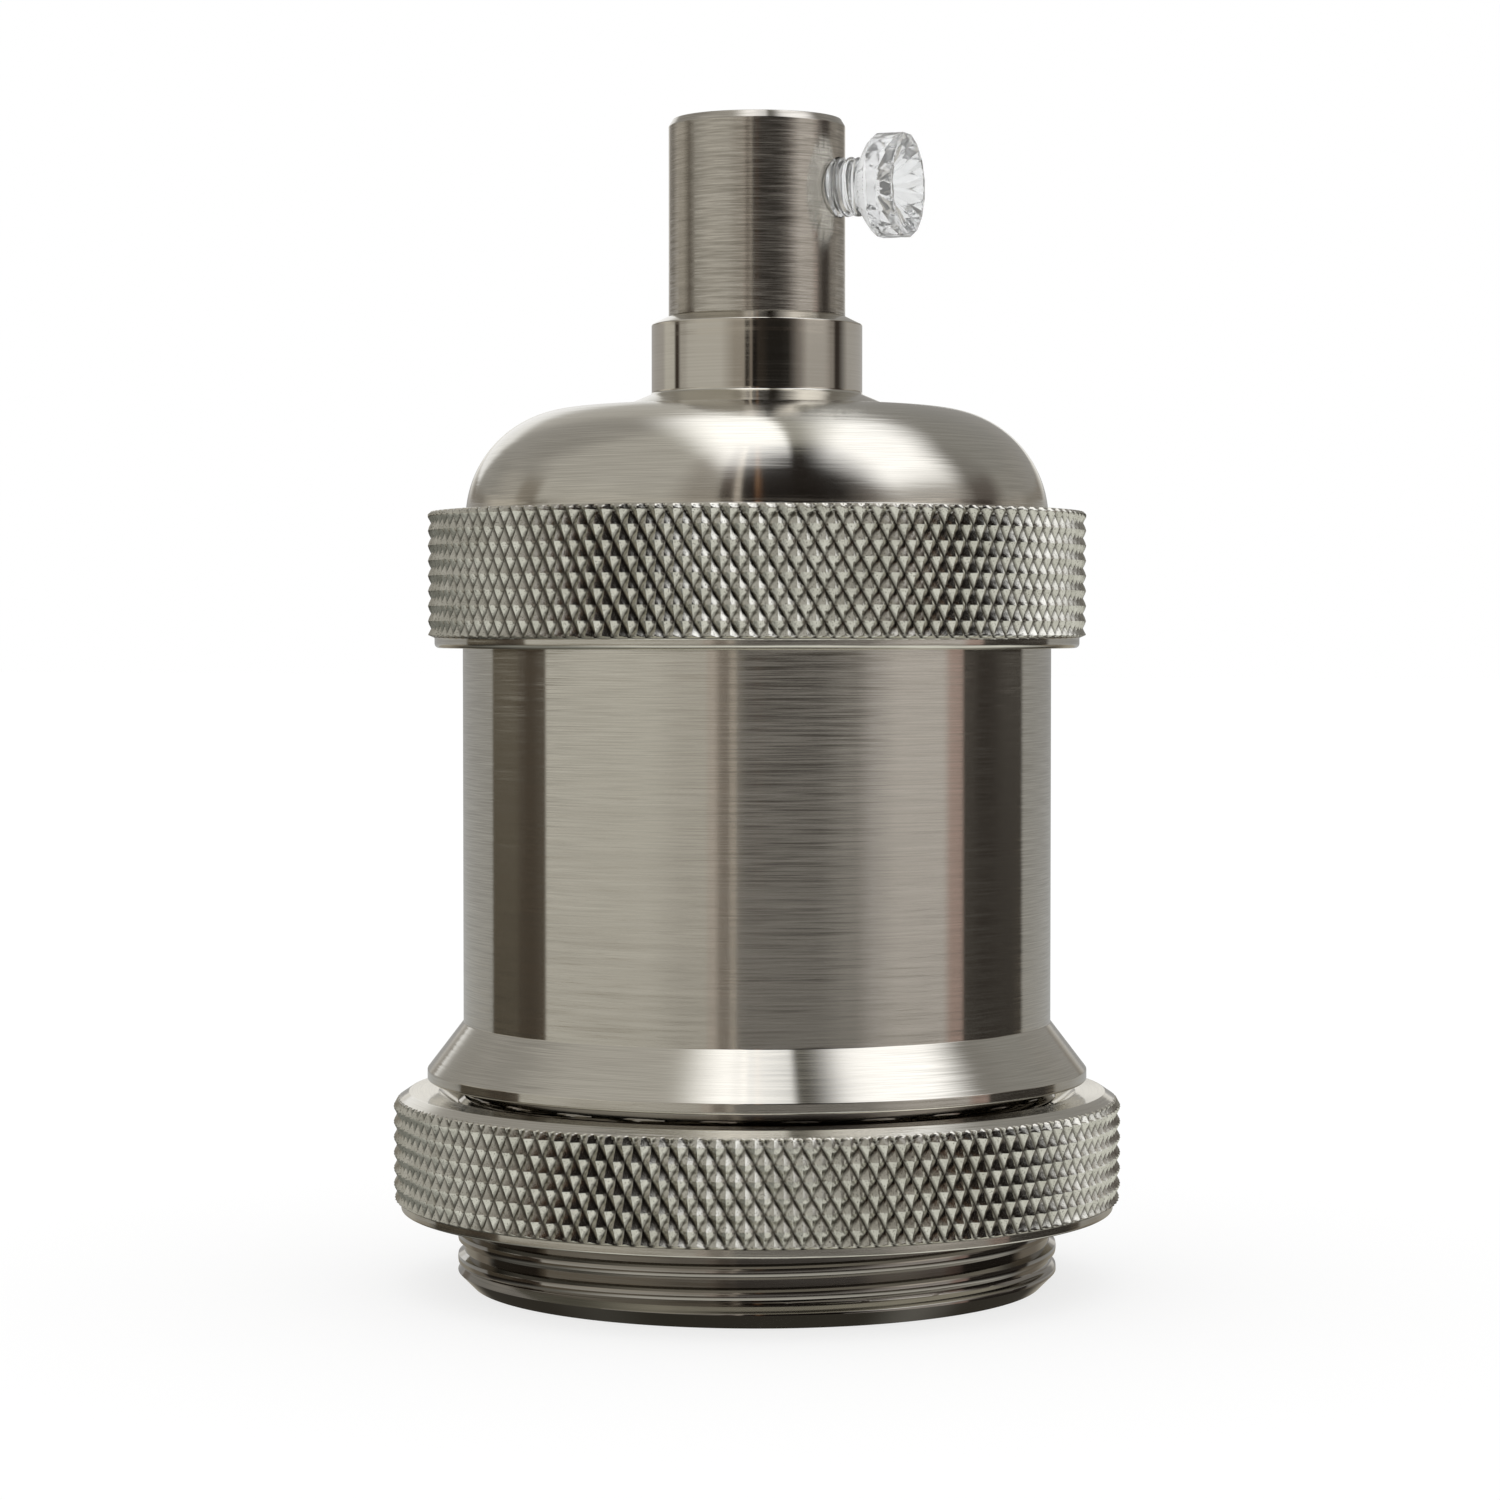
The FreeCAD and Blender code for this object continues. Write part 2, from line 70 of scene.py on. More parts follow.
# Sizes that a box doesn't give, the same as in the construction
TUBE_RADIUS = 20.0
NECK_RADIUS = 20.4
BORE_RADIUS = 18.5
LEDGE_RADIUS = 16.3
LEDGE_HEIGHT = 2.0
RIM_CHAMFER = 1.0
FLANGE_BOTTOM = 14.0
FLANGE_LIP = 0.7
FLANGE_CONE = 3.2
THREAD_CLEAR = 0.05
RING_FOOT = 0.67
RING_MARGIN = 0.27
RING_BEVEL = (1.1, 0.74)
RING_ENTRY = 1.25
CAP_BAND = 9.25
CAP_FOOT = 0.8
CAP_MARGIN = 0.3
DOME_RADIUS = 19.8
DOME_CORNER = 7.5
DOME_RISE = 6.95
DOME_WALL = 2.0
BOSS_RADIUS = 9.35
BOSS_HEIGHT = 1.0
COLLAR_RADIUS = 7.16
COLLAR_CHAMFER = 0.5
CORD_RADIUS = 4.2
NIPPLE_WALL = 1.0
NIPPLE_CLEAR = 0.03
GRIP_STEP_ABOVE_NIPPLE = 0.4
GRIP_CHAMFER = (0.3, 0.5)
THUMB_RADIUS = 2.0
THUMB_DROP = 4.8
THUMB_NECK = 7.8
THUMB_CONE = 1.1
THUMB_RIM_WALL = 0.45
THUMB_DISH = 1.2
THUMB_HUB = 0.7
THUMB_FLATS = 16
THUMB_FLAT_DEPTH = 0.08
THUMB_GROOVE_DEPTH = 0.55
THUMB_GROOVE_SLOPE = math.tan(math.radians(32))
SHELL_MEAN_RADIUS = 12.75
SHELL_SWING = 0.55
SHELL_PITCH = 3.629
SHELL_SHEET = 0.4
SHELL_PLAIN = 1.4
SHELL_HOLE = 7.0

# Threads: pitch and depth. The crown is a share of the depth, the fade at the ends a share of the pitch.
NECK_THREAD = (1.5, 0.45)
TOP_THREAD = (1.5, 0.5)
NIPPLE_THREAD = (1.0, 0.5)
THUMB_THREAD = (0.7, 0.32)
THREAD_CROWN = 0.06
THREAD_FADE = 0.45
ROWS_PER_PITCH = 12
NECK_ROWS_PER_PITCH = 24

# Diamond knurl: pitch, row and set-in as in the construction, and grooves that are cut deeper
KNURL_PITCH = 1.22
KNURL_ROW = 1.03
KNURL_DEPTH = 0.45
KNURL_SET_IN = 0.04
KNURL_FOOT_STEP = 0.05
KNURL_RUNOUT = 2.2
KNURL_WAVER = 0.05
KNURL_SHALLOWER = 0.04
KNURL_ROUND = 0.06
KNURL_BLUNT = 0.93

# Points of a softened edge, columns from groove to groove, and points of a fine row for each coarse one
ARC_POINTS = 5
EDGE_POINTS = ARC_POINTS + 2
KNURL_COLUMNS = 8
FINE = 4

# The camera that took the photo, found from the outlines of the turned parts
CAMERA_AZIMUTH = math.radians(21.5)
CAMERA_DISTANCE = 275.7
CAMERA_SIDE = -0.474
CAMERA_HEIGHT = 44.83
CAMERA_PITCH = math.radians(1.776)
CAMERA_LENS = 97.05
SENSOR_WIDTH = 36.0


def angles(count):
    return np.arange(count) * TURN / count


def ring_row(radius, z, count):
    """One closed row of points round Z: radius and z may each be a number or an array."""
    turn = angles(count)
    radius, z = np.broadcast_to(radius, count), np.broadcast_to(z, count)
    return np.stack([radius * np.cos(turn), radius * np.sin(turn), z], 1)


def join_rows(start_a, count_a, start_b, count_b, flip=None):
    """Faces between two rows that wrap round.

    Equal rows give quads, or two triangles a cell where flip says which diagonal is the
    fold. A single point gives a fan. A row with FINE times as many points is stitched.
    """
    a, b = np.arange(count_a), np.arange(count_b)
    a_next, b_next = (a + 1) % count_a, (b + 1) % count_b
    if count_b == 1:
        return [np.stack([start_a + a, start_a + a_next, np.full(count_a, start_b)], 1)]
    if count_a == 1:
        return [np.stack([np.full(count_b, start_a), start_b + b_next, start_b + b], 1)]
    if count_a == count_b:
        corners = np.stack([start_a + a, start_a + a_next, start_b + b_next, start_b + b], 1)
        if flip is None:
            return [corners]
        one = np.where(flip[:, None], corners[:, [0, 1, 3]], corners[:, [0, 1, 2]])
        two = np.where(flip[:, None], corners[:, [1, 2, 3]], corners[:, [0, 2, 3]])
        return [one, two]
    fine_start, fine, coarse_start = start_b, b, start_a
    if count_a > count_b:
        fine_start, fine, coarse_start = start_a, a, start_b
    coarse_count = len(fine) // FINE
    near = (fine // FINE + (fine % FINE >= FINE // 2)) % coarse_count
    fans = np.stack([fine_start + fine, fine_start + (fine + 1) % len(fine), coarse_start + near], 1)
    coarse = np.arange(coarse_count)
    caps = np.stack([coarse_start + coarse, fine_start + FINE * coarse + FINE // 2,
                     coarse_start + (coarse + 1) % coarse_count], 1)
    if count_a < count_b:
        fans, caps = fans[:, ::-1], caps[:, ::-1]
    return [fans, caps]


def volume_of(points, faces):
    """Signed volume of a closed mesh from its faces split into fans."""
    total = 0.0
    for group in faces:
        for k in range(1, group.shape[1] - 1):
            a, b, c = points[group[:, 0]], points[group[:, k]], points[group[:, k + 1]]
            total += np.einsum("ij,ij->", a, np.cross(b, c))
    return total


def mesh_object(name, points, faces, materials, material_of=None, sharp=30.0):
    """A mesh object in metres from an array of points in mm and groups of equal faces."""
    if volume_of(points, faces) < 0:
        faces = [group[:, ::-1] for group in faces]
    loops = np.concatenate([group.ravel() for group in faces])
    sizes = np.concatenate([np.full(len(group), group.shape[1]) for group in faces])
    mesh = bpy.data.meshes.new(name)
    mesh.vertices.add(len(points))
    mesh.vertices.foreach_set("co", (points * MM).astype(np.float32).ravel())
    mesh.loops.add(len(loops))
    mesh.loops.foreach_set("vertex_index", loops.astype(np.int32))
    mesh.polygons.add(len(sizes))
    starts = np.concatenate([[0], np.cumsum(sizes)[:-1]])
    mesh.polygons.foreach_set("loop_start", starts.astype(np.int32))
    mesh.update(calc_edges=True)
    mesh.validate()
    for material in materials:
        mesh.materials.append(material)
    if material_of is not None:
        middles = np.empty(len(mesh.polygons) * 3, np.float32)
        mesh.polygons.foreach_get("center", middles)
        index = material_of(middles.reshape(-1, 3) / MM)
        mesh.polygons.foreach_set("material_index", index.astype(np.int32))
    mesh.polygons.foreach_set("use_smooth", np.ones(len(mesh.polygons), bool))
    mesh.set_sharp_from_angle(angle=math.radians(sharp))
    piece = bpy.data.objects.new(name, mesh)
    bpy.context.scene.collection.objects.link(piece)
    return piece


def rows_object(name, rows, materials, closed=True, flips=None, threads=(), material_of=None, sharp=30.0):
    """A piece from rows of points: each row is joined to the next, and the last to the first.

    Each thread is the numbers of its first and last row and its rows per pitch.
    """
    counts = [len(row) for row in rows]
    starts = np.concatenate([[0], np.cumsum(counts)])
    pairs = [(i, i + 1) for i in range(len(rows) - 1)] + ([(len(rows) - 1, 0)] if closed else [])
    faces = []
    for i, j in pairs:
        inside = [thread for thread in threads if thread[0] <= i < thread[1]]
        if inside:
            faces += join_thread(starts, counts[i], i, *inside[0])
            continue
        flip = flips.get(i) if flips and j == i + 1 else None
        faces += join_rows(starts[i], counts[i], starts[j], counts[j], flip)
    return mesh_object(name, np.concatenate(rows), faces, materials, material_of, sharp)


def softened(*corners):
    """A profile of (r, z) points from corners (r, z, edge radius).

    Each edge is a small arc, and a point beside each end of the arc keeps the flats flat.
    """
    points = []
    count = len(corners)
    for i, (r, z, edge) in enumerate(corners):
        here = np.array([r, z])
        if not edge:
            points.append(here)
            continue
        back = np.array(corners[i - 1][:2]) - here
        ahead = np.array(corners[(i + 1) % count][:2]) - here
        back, ahead = back / np.linalg.norm(back), ahead / np.linalg.norm(ahead)
        half = math.acos(np.clip(back @ ahead, -1, 1)) / 2
        reach = edge / math.tan(half)
        middle = here + (back + ahead) / np.linalg.norm(back + ahead) * edge / math.sin(half)
        start, end = here + back * reach - middle, here + ahead * reach - middle
        span = math.pi - 2 * half
        share = np.linspace(0, 1, ARC_POINTS)[:, None]
        arc = (np.sin((1 - share) * span) * start + np.sin(share * span) * end) / math.sin(span)
        beside = reach * 1.5
        points.append(here + back * beside)
        points.extend(middle + arc)
        points.append(here + ahead * beside)
    return points


def lathe_rows(profile, count):
    return [ring_row(r, z, count) for r, z in profile]


def on_axis(z):
    """A row of one point, which closes an end."""
    return np.array([[0.0, 0, z]])


def laid_along_x(rows, height):
    """Rows built round Z, laid round the line along +X at height."""
    return [row[:, [2, 0, 1]] + np.array([0, 0, height]) for row in rows]


def thread_depth(turn, z, pitch, depth):
    """How far a right-hand thread is cut below its crest at angle turn and height z.

    The phase z / pitch - turn / 360 degrees is 0 at a crest. The slightly crowned crest and
    the root each take a third of the pitch, and each straight flank between them a sixth.
    """
    phase = z / pitch - turn / TURN
    away = np.abs(phase - np.round(phase))
    crown = THREAD_CROWN * np.clip(away * 6, 0, 1) ** 2
    return depth * (crown + (1 - THREAD_CROWN) * np.clip(away * 6 - 1, 0, 1))


def thread_steps(count, rows_per_pitch):
    """How many rows the thread has climbed at each column."""
    return np.floor(np.arange(count) * rows_per_pitch / count + 0.5)


def thread_rows(low, high, radius, thread, count, limit=None, rows_per_pitch=ROWS_PER_PITCH):
    """Rows of a threaded cylinder whose points follow the thread, within the radius limit(z).

    Between two steps each row climbs with the thread, so its points stay on the same line of
    the thread's profile. The cut fades out at both ends.
    """
    pitch, depth = thread
    spacing = pitch / rows_per_pitch
    last = int((high - low) / spacing + 1e-6)
    climb = (np.arange(count) * rows_per_pitch / count - thread_steps(count, rows_per_pitch)) * spacing
    rows = []
    for k in range(last + 1):
        z = low + k * spacing + climb * (0 < k < last)
        fade = np.clip(np.minimum(z - low, high - z) / (THREAD_FADE * pitch), 0, 1)
        cut = radius - fade * thread_depth(angles(count), z - low, pitch, depth)
        rows.append(ring_row(cut if limit is None else np.minimum(cut, limit(z)), z, count))
    return rows


def bore_rows(high, low, radius, thread, count):
    """Rows of a threaded bore from high down to low, cut outwards from radius."""
    pitch, depth = thread
    heights = np.linspace(high, low, round((high - low) / pitch * ROWS_PER_PITCH) + 1)
    return [ring_row(radius + depth - thread_depth(angles(count) + math.pi, z, pitch, depth), z, count)
            for z in heights]


def add_thread(rows, thread, rows_per_pitch=ROWS_PER_PITCH):
    """Adds a thread's rows to rows; returns the numbers of its first and last row and its rows per pitch."""
    first = len(rows)
    rows += thread
    return first, len(rows) - 1, rows_per_pitch


def join_thread(starts, count, i, first, last, rows_per_pitch):
    """Faces from row i to the next one inside a thread; where the thread steps up, they climb by one row."""
    a = np.arange(count)
    a_next = (a + 1) % count
    low, high = starts[i], starts[i + 1]
    stepped = np.append(np.diff(thread_steps(count, rows_per_pitch)) > 0, False)
    faces = [np.stack([low + a, low + a_next, high + a_next, high + a], 1)[~stepped]]
    j, k = a[stepped], a_next[stepped]
    if i == first:
        faces.append(np.stack([low + j, low + k, high + k], 1))
    if i + 1 == last:
        faces.append(np.stack([low + j, high + k, high + j], 1))
    else:
        faces.append(np.stack([low + j, high + k, starts[i + 2] + k, high + j], 1))
    return faces


def knurl_grid(outer, low, high):
    """Grooves each way round a band, its rows of half a diamond, and the height of a row."""
    grooves = round(TURN * outer / KNURL_PITCH)
    rows = round((high - low) / KNURL_ROW)
    return grooves, rows, (high - low) / rows


def knurl_radius(turn, z, grooves, low, row, tip):
    """Radius of a diamond knurl at angle turn and height z.

    u and v count diamonds round and up. The straight grooves are the lines where u + v is
    whole. The others, where u - v is whole, waver and are a little shallower. The height
    between them rises in a straight ramp to a blunt tip.
    """
    u = turn * grooves / TURN
    v = (z - low) / (2 * row)
    down_right = np.abs((u + v) - np.round(u + v)) * 2
    wave = KNURL_WAVER * np.sin(TURN * (u + v))
    up_right = np.abs((u - v + wave) - np.round(u - v + wave)) * 2
    height = np.minimum(down_right, up_right * (1 - KNURL_SHALLOWER) + KNURL_SHALLOWER)
    height = np.sqrt(height ** 2 + KNURL_ROUND ** 2) - KNURL_ROUND
    height = np.minimum(height, KNURL_BLUNT) / KNURL_BLUNT
    return tip - KNURL_DEPTH * (1 - height)


def knurl_band(low, high, low_row, grid, tip, limit):
    """Rows and folds of a knurled band from low to high, cut back to limit(z).

    Each row of the grid has four rows of points. The ends of the band have finer ones.
    """
    grooves, grid_rows, row = grid
    columns = grooves * KNURL_COLUMNS
    regular = low_row + row / 4 * np.arange(-4, 4 * grid_rows + 5)
    near_foot = np.linspace(low, low_row + 0.2, 9)
    near_top = np.linspace(high - 0.6, high, 13)
    heights = np.unique(np.round(np.concatenate([regular, near_foot, near_top]), 3))
    heights = heights[(heights >= low - 1e-6) & (heights <= high + 1e-6)]
    turn = angles(columns)
    band, folds = [], []
    for i, z in enumerate(heights):
        knurl = knurl_radius(turn, z, grooves, low_row, row, tip)
        band.append(ring_row(np.minimum(knurl, limit(z)), z, columns))
        middle = (z + heights[min(i + 1, len(heights) - 1)]) / 2
        half_diamonds = math.floor((middle - low_row) / row)
        folds.append((np.arange(columns) // (KNURL_COLUMNS // 2) + half_diamonds) % 2 == 1)
    return band, folds


# Materials


def colour(code):
    """Linear RGBA from an sRGB hex code such as #C9C3B6."""
    values = [int(code[i:i + 2], 16) / 255 for i in (1, 3, 5)]
    return [v / 12.92 if v <= 0.04045 else ((v + 0.055) / 1.055) ** 2.4 for v in values] + [1.0]


def add(tree, kind, inputs=None, **settings):
    """Adds a node: settings are its properties, and inputs maps a socket to a value or a source socket."""
    node = tree.nodes.new(kind)
    for key, value in settings.items():
        setattr(node, key, value)
    for key, value in (inputs or {}).items():
        if isinstance(value, bpy.types.NodeSocket):
            tree.links.new(value, node.inputs[key])
        else:
            node.inputs[key].default_value = value
    return node


def new_material(name, inputs=None):
    """A material of one principled shader, with values for the shader's own sockets."""
    material = bpy.data.materials.new(name)
    material.use_nodes = True
    tree = material.node_tree
    tree.nodes.clear()
    shader = add(tree, "ShaderNodeBsdfPrincipled", inputs)
    add(tree, "ShaderNodeOutputMaterial", {"Surface": shader.outputs["BSDF"]})
    return material, tree, shader


def number_node(tree, operation, first, second=0.0):
    return add(tree, "ShaderNodeMath", {0: first, 1: second}, operation=operation).outputs[0]


def vector_node(tree, operation, first, second=(0, 0, 0), output="Vector"):
    return add(tree, "ShaderNodeVectorMath", {0: first, 1: second}, operation=operation).outputs[output]


def ranged(tree, source, low, high, start=0.0, end=1.0, **settings):
    """The source's stretch from start to end, mapped onto low to high."""
    limits = {0: source, "From Min": start, "From Max": end, "To Min": low, "To Max": high}
    return add(tree, "ShaderNodeMapRange", limits, **settings).outputs[0]


def noise_node(tree, size, detail):
    """Noise in the piece's own space with a grain of size mm."""
    place = add(tree, "ShaderNodeTexCoord").outputs["Object"]
    inputs = {"Vector": place, "Scale": 1 / (size * MM), "Detail": detail}
    return add(tree, "ShaderNodeTexNoise", inputs).outputs["Fac"]


def bumped(tree, shader, height, strength, depth):
    """Gives the shader a bump of depth mm."""
    inputs = {"Height": height, "Strength": strength, "Distance": depth * MM}
    bump = add(tree, "ShaderNodeBump", inputs)
    tree.links.new(bump.outputs[0], shader.inputs["Normal"])


def turning_lines(tree, streak_length, line_height):
    """Noise that runs round the axis.

    It is long in x and y, and fine along z - r, where r is the distance from the axis.
    """
    place = add(tree, "ShaderNodeTexCoord").outputs["Object"]
    split = add(tree, "ShaderNodeSeparateXYZ", {0: place}).outputs
    radius = vector_node(tree, "LENGTH", vector_node(tree, "MULTIPLY", place, (1, 1, 0)), output="Value")
    along = number_node(tree, "SUBTRACT", split["Z"], radius)
    joined = add(tree, "ShaderNodeCombineXYZ", {0: split["X"], 1: split["Y"], 2: along}).outputs[0]
    scale = (1 / (streak_length * MM), 1 / (streak_length * MM), 1 / (line_height * MM))
    scaled = vector_node(tree, "MULTIPLY", joined, scale)
    inputs = {"Vector": scaled, "Scale": 1.0, "Detail": 2.0, "Roughness": 0.55}
    return add(tree, "ShaderNodeTexNoise", inputs).outputs["Fac"]


def leaned_normal(tree, amount_sources):
    """The surface normal leaned along the profile by the sum of (source - 0.5) * amount."""
    place = add(tree, "ShaderNodeTexCoord").outputs["Object"]
    normal = add(tree, "ShaderNodeNewGeometry").outputs["Normal"]
    around = vector_node(tree, "NORMALIZE", vector_node(tree, "CROSS_PRODUCT", (0, 0, 1), place))
    along = vector_node(tree, "CROSS_PRODUCT", around, normal)
    total = 0.0
    for source, amount in amount_sources:
        part = number_node(tree, "MULTIPLY", number_node(tree, "SUBTRACT", source, 0.5), amount)
        total = number_node(tree, "ADD", part, total)
    lean = add(tree, "ShaderNodeVectorMath", {0: along, "Scale": total}, operation="SCALE").outputs[0]
    return vector_node(tree, "NORMALIZE", vector_node(tree, "ADD", normal, lean))


def blend_colours(tree, source, dark, light):
    """Dark to light over the middle of the source's range, where noise mostly lies."""
    ramp = add(tree, "ShaderNodeValToRGB", {0: source})
    for stop, place, code in zip(ramp.color_ramp.elements, (0.3, 0.7), (dark, light)):
        stop.position = place
        stop.color = colour(code)
    return ramp.outputs["Color"]


def turned_nickel(name, dark, light, roughness, stretch, lean, streak=9.0, line=0.11):
    """Satin nickel plate over turned metal.

    The cutting lines run round the axis, so light smears along the profile and stays crisp
    round it. Long fine streaks lean the surface a little and change its grey.
    """
    material, tree, shader = new_material(name, {
        "Metallic": 1.0, "Anisotropic": stretch, "Anisotropic Rotation": 0.25})
    fine = turning_lines(tree, streak, line)
    broad = turning_lines(tree, streak * 1.6, line * 3.5)
    tangent = add(tree, "ShaderNodeTangent", direction_type="RADIAL", axis="Z")
    tree.links.new(tangent.outputs[0], shader.inputs["Tangent"])
    tree.links.new(blend_colours(tree, fine, dark, light), shader.inputs["Base Color"])
    tree.links.new(leaned_normal(tree, [(fine, lean), (broad, lean * 0.4)]), shader.inputs["Normal"])
    tree.links.new(ranged(tree, broad, roughness * 0.85, roughness * 1.15), shader.inputs["Roughness"])
    return material


def knurled_nickel():
    """Satin nickel on rolled diamonds: burnished facets with tiny pits, and grime plus painted shade in the
    grooves.
    """
    material, tree, shader = new_material("knurled_nickel", {"Metallic": 1.0, "Roughness": 0.17})
    grain = noise_node(tree, size=0.09, detail=2.0)
    patches = noise_node(tree, size=1.6, detail=1.0)
    clean = blend_colours(tree, patches, "#BEBCB1", "#D4D2C8")
    height = add(tree, "ShaderNodeAttribute", attribute_name="knurl_height", attribute_type="GEOMETRY")
    pits = ranged(tree, grain, 0.35, 1.0, start=0.30, end=0.42)
    # Grooves darken towards #3A342A by knurl height: partly grime, partly painted shade in the recesses.
    grime_and_groove_shade = ranged(tree, height.outputs["Fac"], 0.2, 1.0, start=0.03, end=0.3)
    shade = number_node(tree, "MULTIPLY", pits, grime_and_groove_shade)
    tinted = add(tree, "ShaderNodeMix", {0: shade, 6: colour("#3A342A"), 7: clean}, data_type="RGBA")
    tree.links.new(tinted.outputs[2], shader.inputs["Base Color"])
    bumped(tree, shader, grain, strength=0.25, depth=0.02)
    return material


def plain_metal(name, dark, light, roughness, grain):
    """A stamped or machined small part: faint grain in colour and roughness."""
    material, tree, shader = new_material(name, {"Metallic": 1.0})
    noise = noise_node(tree, size=grain, detail=3.0)
    tree.links.new(blend_colours(tree, noise, dark, light), shader.inputs["Base Color"])
    tree.links.new(ranged(tree, noise, roughness * 0.7, roughness * 1.3), shader.inputs["Roughness"])
    bumped(tree, shader, noise, strength=0.2, depth=0.01)
    return material


def glazed_porcelain():
    """White steatite under a clear glaze: soft speckle below, smooth gloss above."""
    material, tree, shader = new_material("glazed_porcelain", {
        "Roughness": 0.12, "IOR": 1.5, "Coat Weight": 0.5, "Coat Roughness": 0.04})
    speckle = noise_node(tree, size=0.6, detail=4.0)
    wave = noise_node(tree, size=4.0, detail=1.0)
    tree.links.new(blend_colours(tree, speckle, "#DDD9CE", "#ECE9E0"), shader.inputs["Base Color"])
    bumped(tree, shader, wave, strength=0.3, depth=0.05)
    return material


def clear_plastic():
    """Moulded clear acrylic: it bends light like glass, with a faint flow in the surface."""
    material, tree, shader = new_material("clear_acrylic", {
        "Base Color": colour("#F3F4F4"), "Transmission Weight": 0.88, "Roughness": 0.02, "IOR": 1.49})
    bumped(tree, shader, noise_node(tree, size=1.1, detail=1.0), strength=0.35, depth=0.06)
    return material


NICKEL = turned_nickel("turned_satin_nickel", "#C3BFB4", "#DCD8CD",
                       roughness=0.13, stretch=1.0, lean=0.22, streak=5.0, line=0.08)
# The threaded neck gets a darker copy of the turned nickel: its darker grey is painted shade.
SHADED_NECK_NICKEL = turned_nickel("polished_thread_nickel_painted_shade", "#96928A", "#A5A098",
                            roughness=0.09, stretch=0.6, lean=0.03)
COLLAR_NICKEL = turned_nickel("fine_turned_nickel", "#CEC9BE", "#D6D1C6",
                              roughness=0.05, stretch=0.7, lean=0.02)
GRIP_NICKEL = turned_nickel("brushed_nickel_tube", "#AAA59B", "#D2CDC3",
                            roughness=0.19, stretch=0.85, lean=0.22, streak=2.5, line=0.1)
KNURL_NICKEL = knurled_nickel()
ZINC = plain_metal("bright_zinc_steel", "#B4B7B9", "#CDD0D2", roughness=0.28, grain=0.5)
BRASS = plain_metal("machined_brass", "#C9A75F", "#DDBF7C", roughness=0.25, grain=0.4)
BRONZE = plain_metal("phosphor_bronze_strip", "#B98C5C", "#CBA273", roughness=0.3, grain=0.3)
SHELL_NICKEL = plain_metal("nickel_plated_sheet", "#B8B3A8", "#CBC7BD", roughness=0.2, grain=0.7)
PORCELAIN = glazed_porcelain()
ACRYLIC = clear_plastic()


def barrel_piece():
    """Barrel: a turned profile whose neck and top end carry right-hand threads."""
    count = 240
    height = barrel_high[2]
    flange = barrel_high[0]
    lip_top = FLANGE_BOTTOM + FLANGE_LIP
    root = NECK_RADIUS - NECK_THREAD[1]
    cap_bottom = cap_low[2]
    foot = softened((LEDGE_RADIUS, 0, 0.15), (NECK_RADIUS - RIM_CHAMFER, 0, 0.08),
                    (NECK_RADIUS, RIM_CHAMFER, 0), (NECK_RADIUS, LEDGE_HEIGHT, 0),
                    (LEDGE_RADIUS, LEDGE_HEIGHT, 0))
    rows = lathe_rows(foot[:2 * EDGE_POINTS], count)
    on_chamfer = [(NECK_RADIUS - RIM_CHAMFER + z, z) for z in (RIM_CHAMFER * 0.3, RIM_CHAMFER - 0.06)]
    rows += lathe_rows(on_chamfer, count)
    relief_low, relief_high = FLANGE_BOTTOM - 1.1, FLANGE_BOTTOM - 0.25

    def neck_limit(z):
        into_relief = np.clip((z - relief_low) / 0.3, 0, 1)
        return NECK_RADIUS - NECK_THREAD[1] * into_relief

    neck = thread_rows(RIM_CHAMFER, relief_high, NECK_RADIUS, NECK_THREAD, count,
                       neck_limit, NECK_ROWS_PER_PITCH)
    threads = [add_thread(rows, neck, NECK_ROWS_PER_PITCH)]
    body = softened((root, FLANGE_BOTTOM, 0.2), (flange, FLANGE_BOTTOM, 0.12), (flange, lip_top, 0.12),
                    (TUBE_RADIUS, lip_top + FLANGE_CONE, 0.1), (TUBE_RADIUS, height, 0), (root, height, 0))
    rows += lathe_rows(body[:4 * EDGE_POINTS], count)
    rows += lathe_rows([(TUBE_RADIUS, cap_bottom + 0.3)], count)
    top = thread_rows(cap_bottom + 0.6, height - 0.5, TUBE_RADIUS, TOP_THREAD, count)
    threads.append(add_thread(rows, top))
    inner = softened((TUBE_RADIUS - 0.6, height, 0.1), (BORE_RADIUS, height, 0.1),
                     (BORE_RADIUS, LEDGE_HEIGHT, 0.2), (LEDGE_RADIUS, LEDGE_HEIGHT, 0.15),
                     (LEDGE_RADIUS, 0, 0), (TUBE_RADIUS, height - 0.5, 0))
    rows += lathe_rows(inner[:4 * EDGE_POINTS], count)

    # Faces of the threaded neck take the darker nickel, which paints shade there.
    def zones(middles):
        outside = np.hypot(middles[:, 0], middles[:, 1]) > BORE_RADIUS
        return (outside & (middles[:, 2] < FLANGE_BOTTOM - 0.1)).astype(int)

    return rows_object("barrel_shell", rows, [NICKEL, SHADED_NECK_NICKEL], threads=threads, material_of=zones)


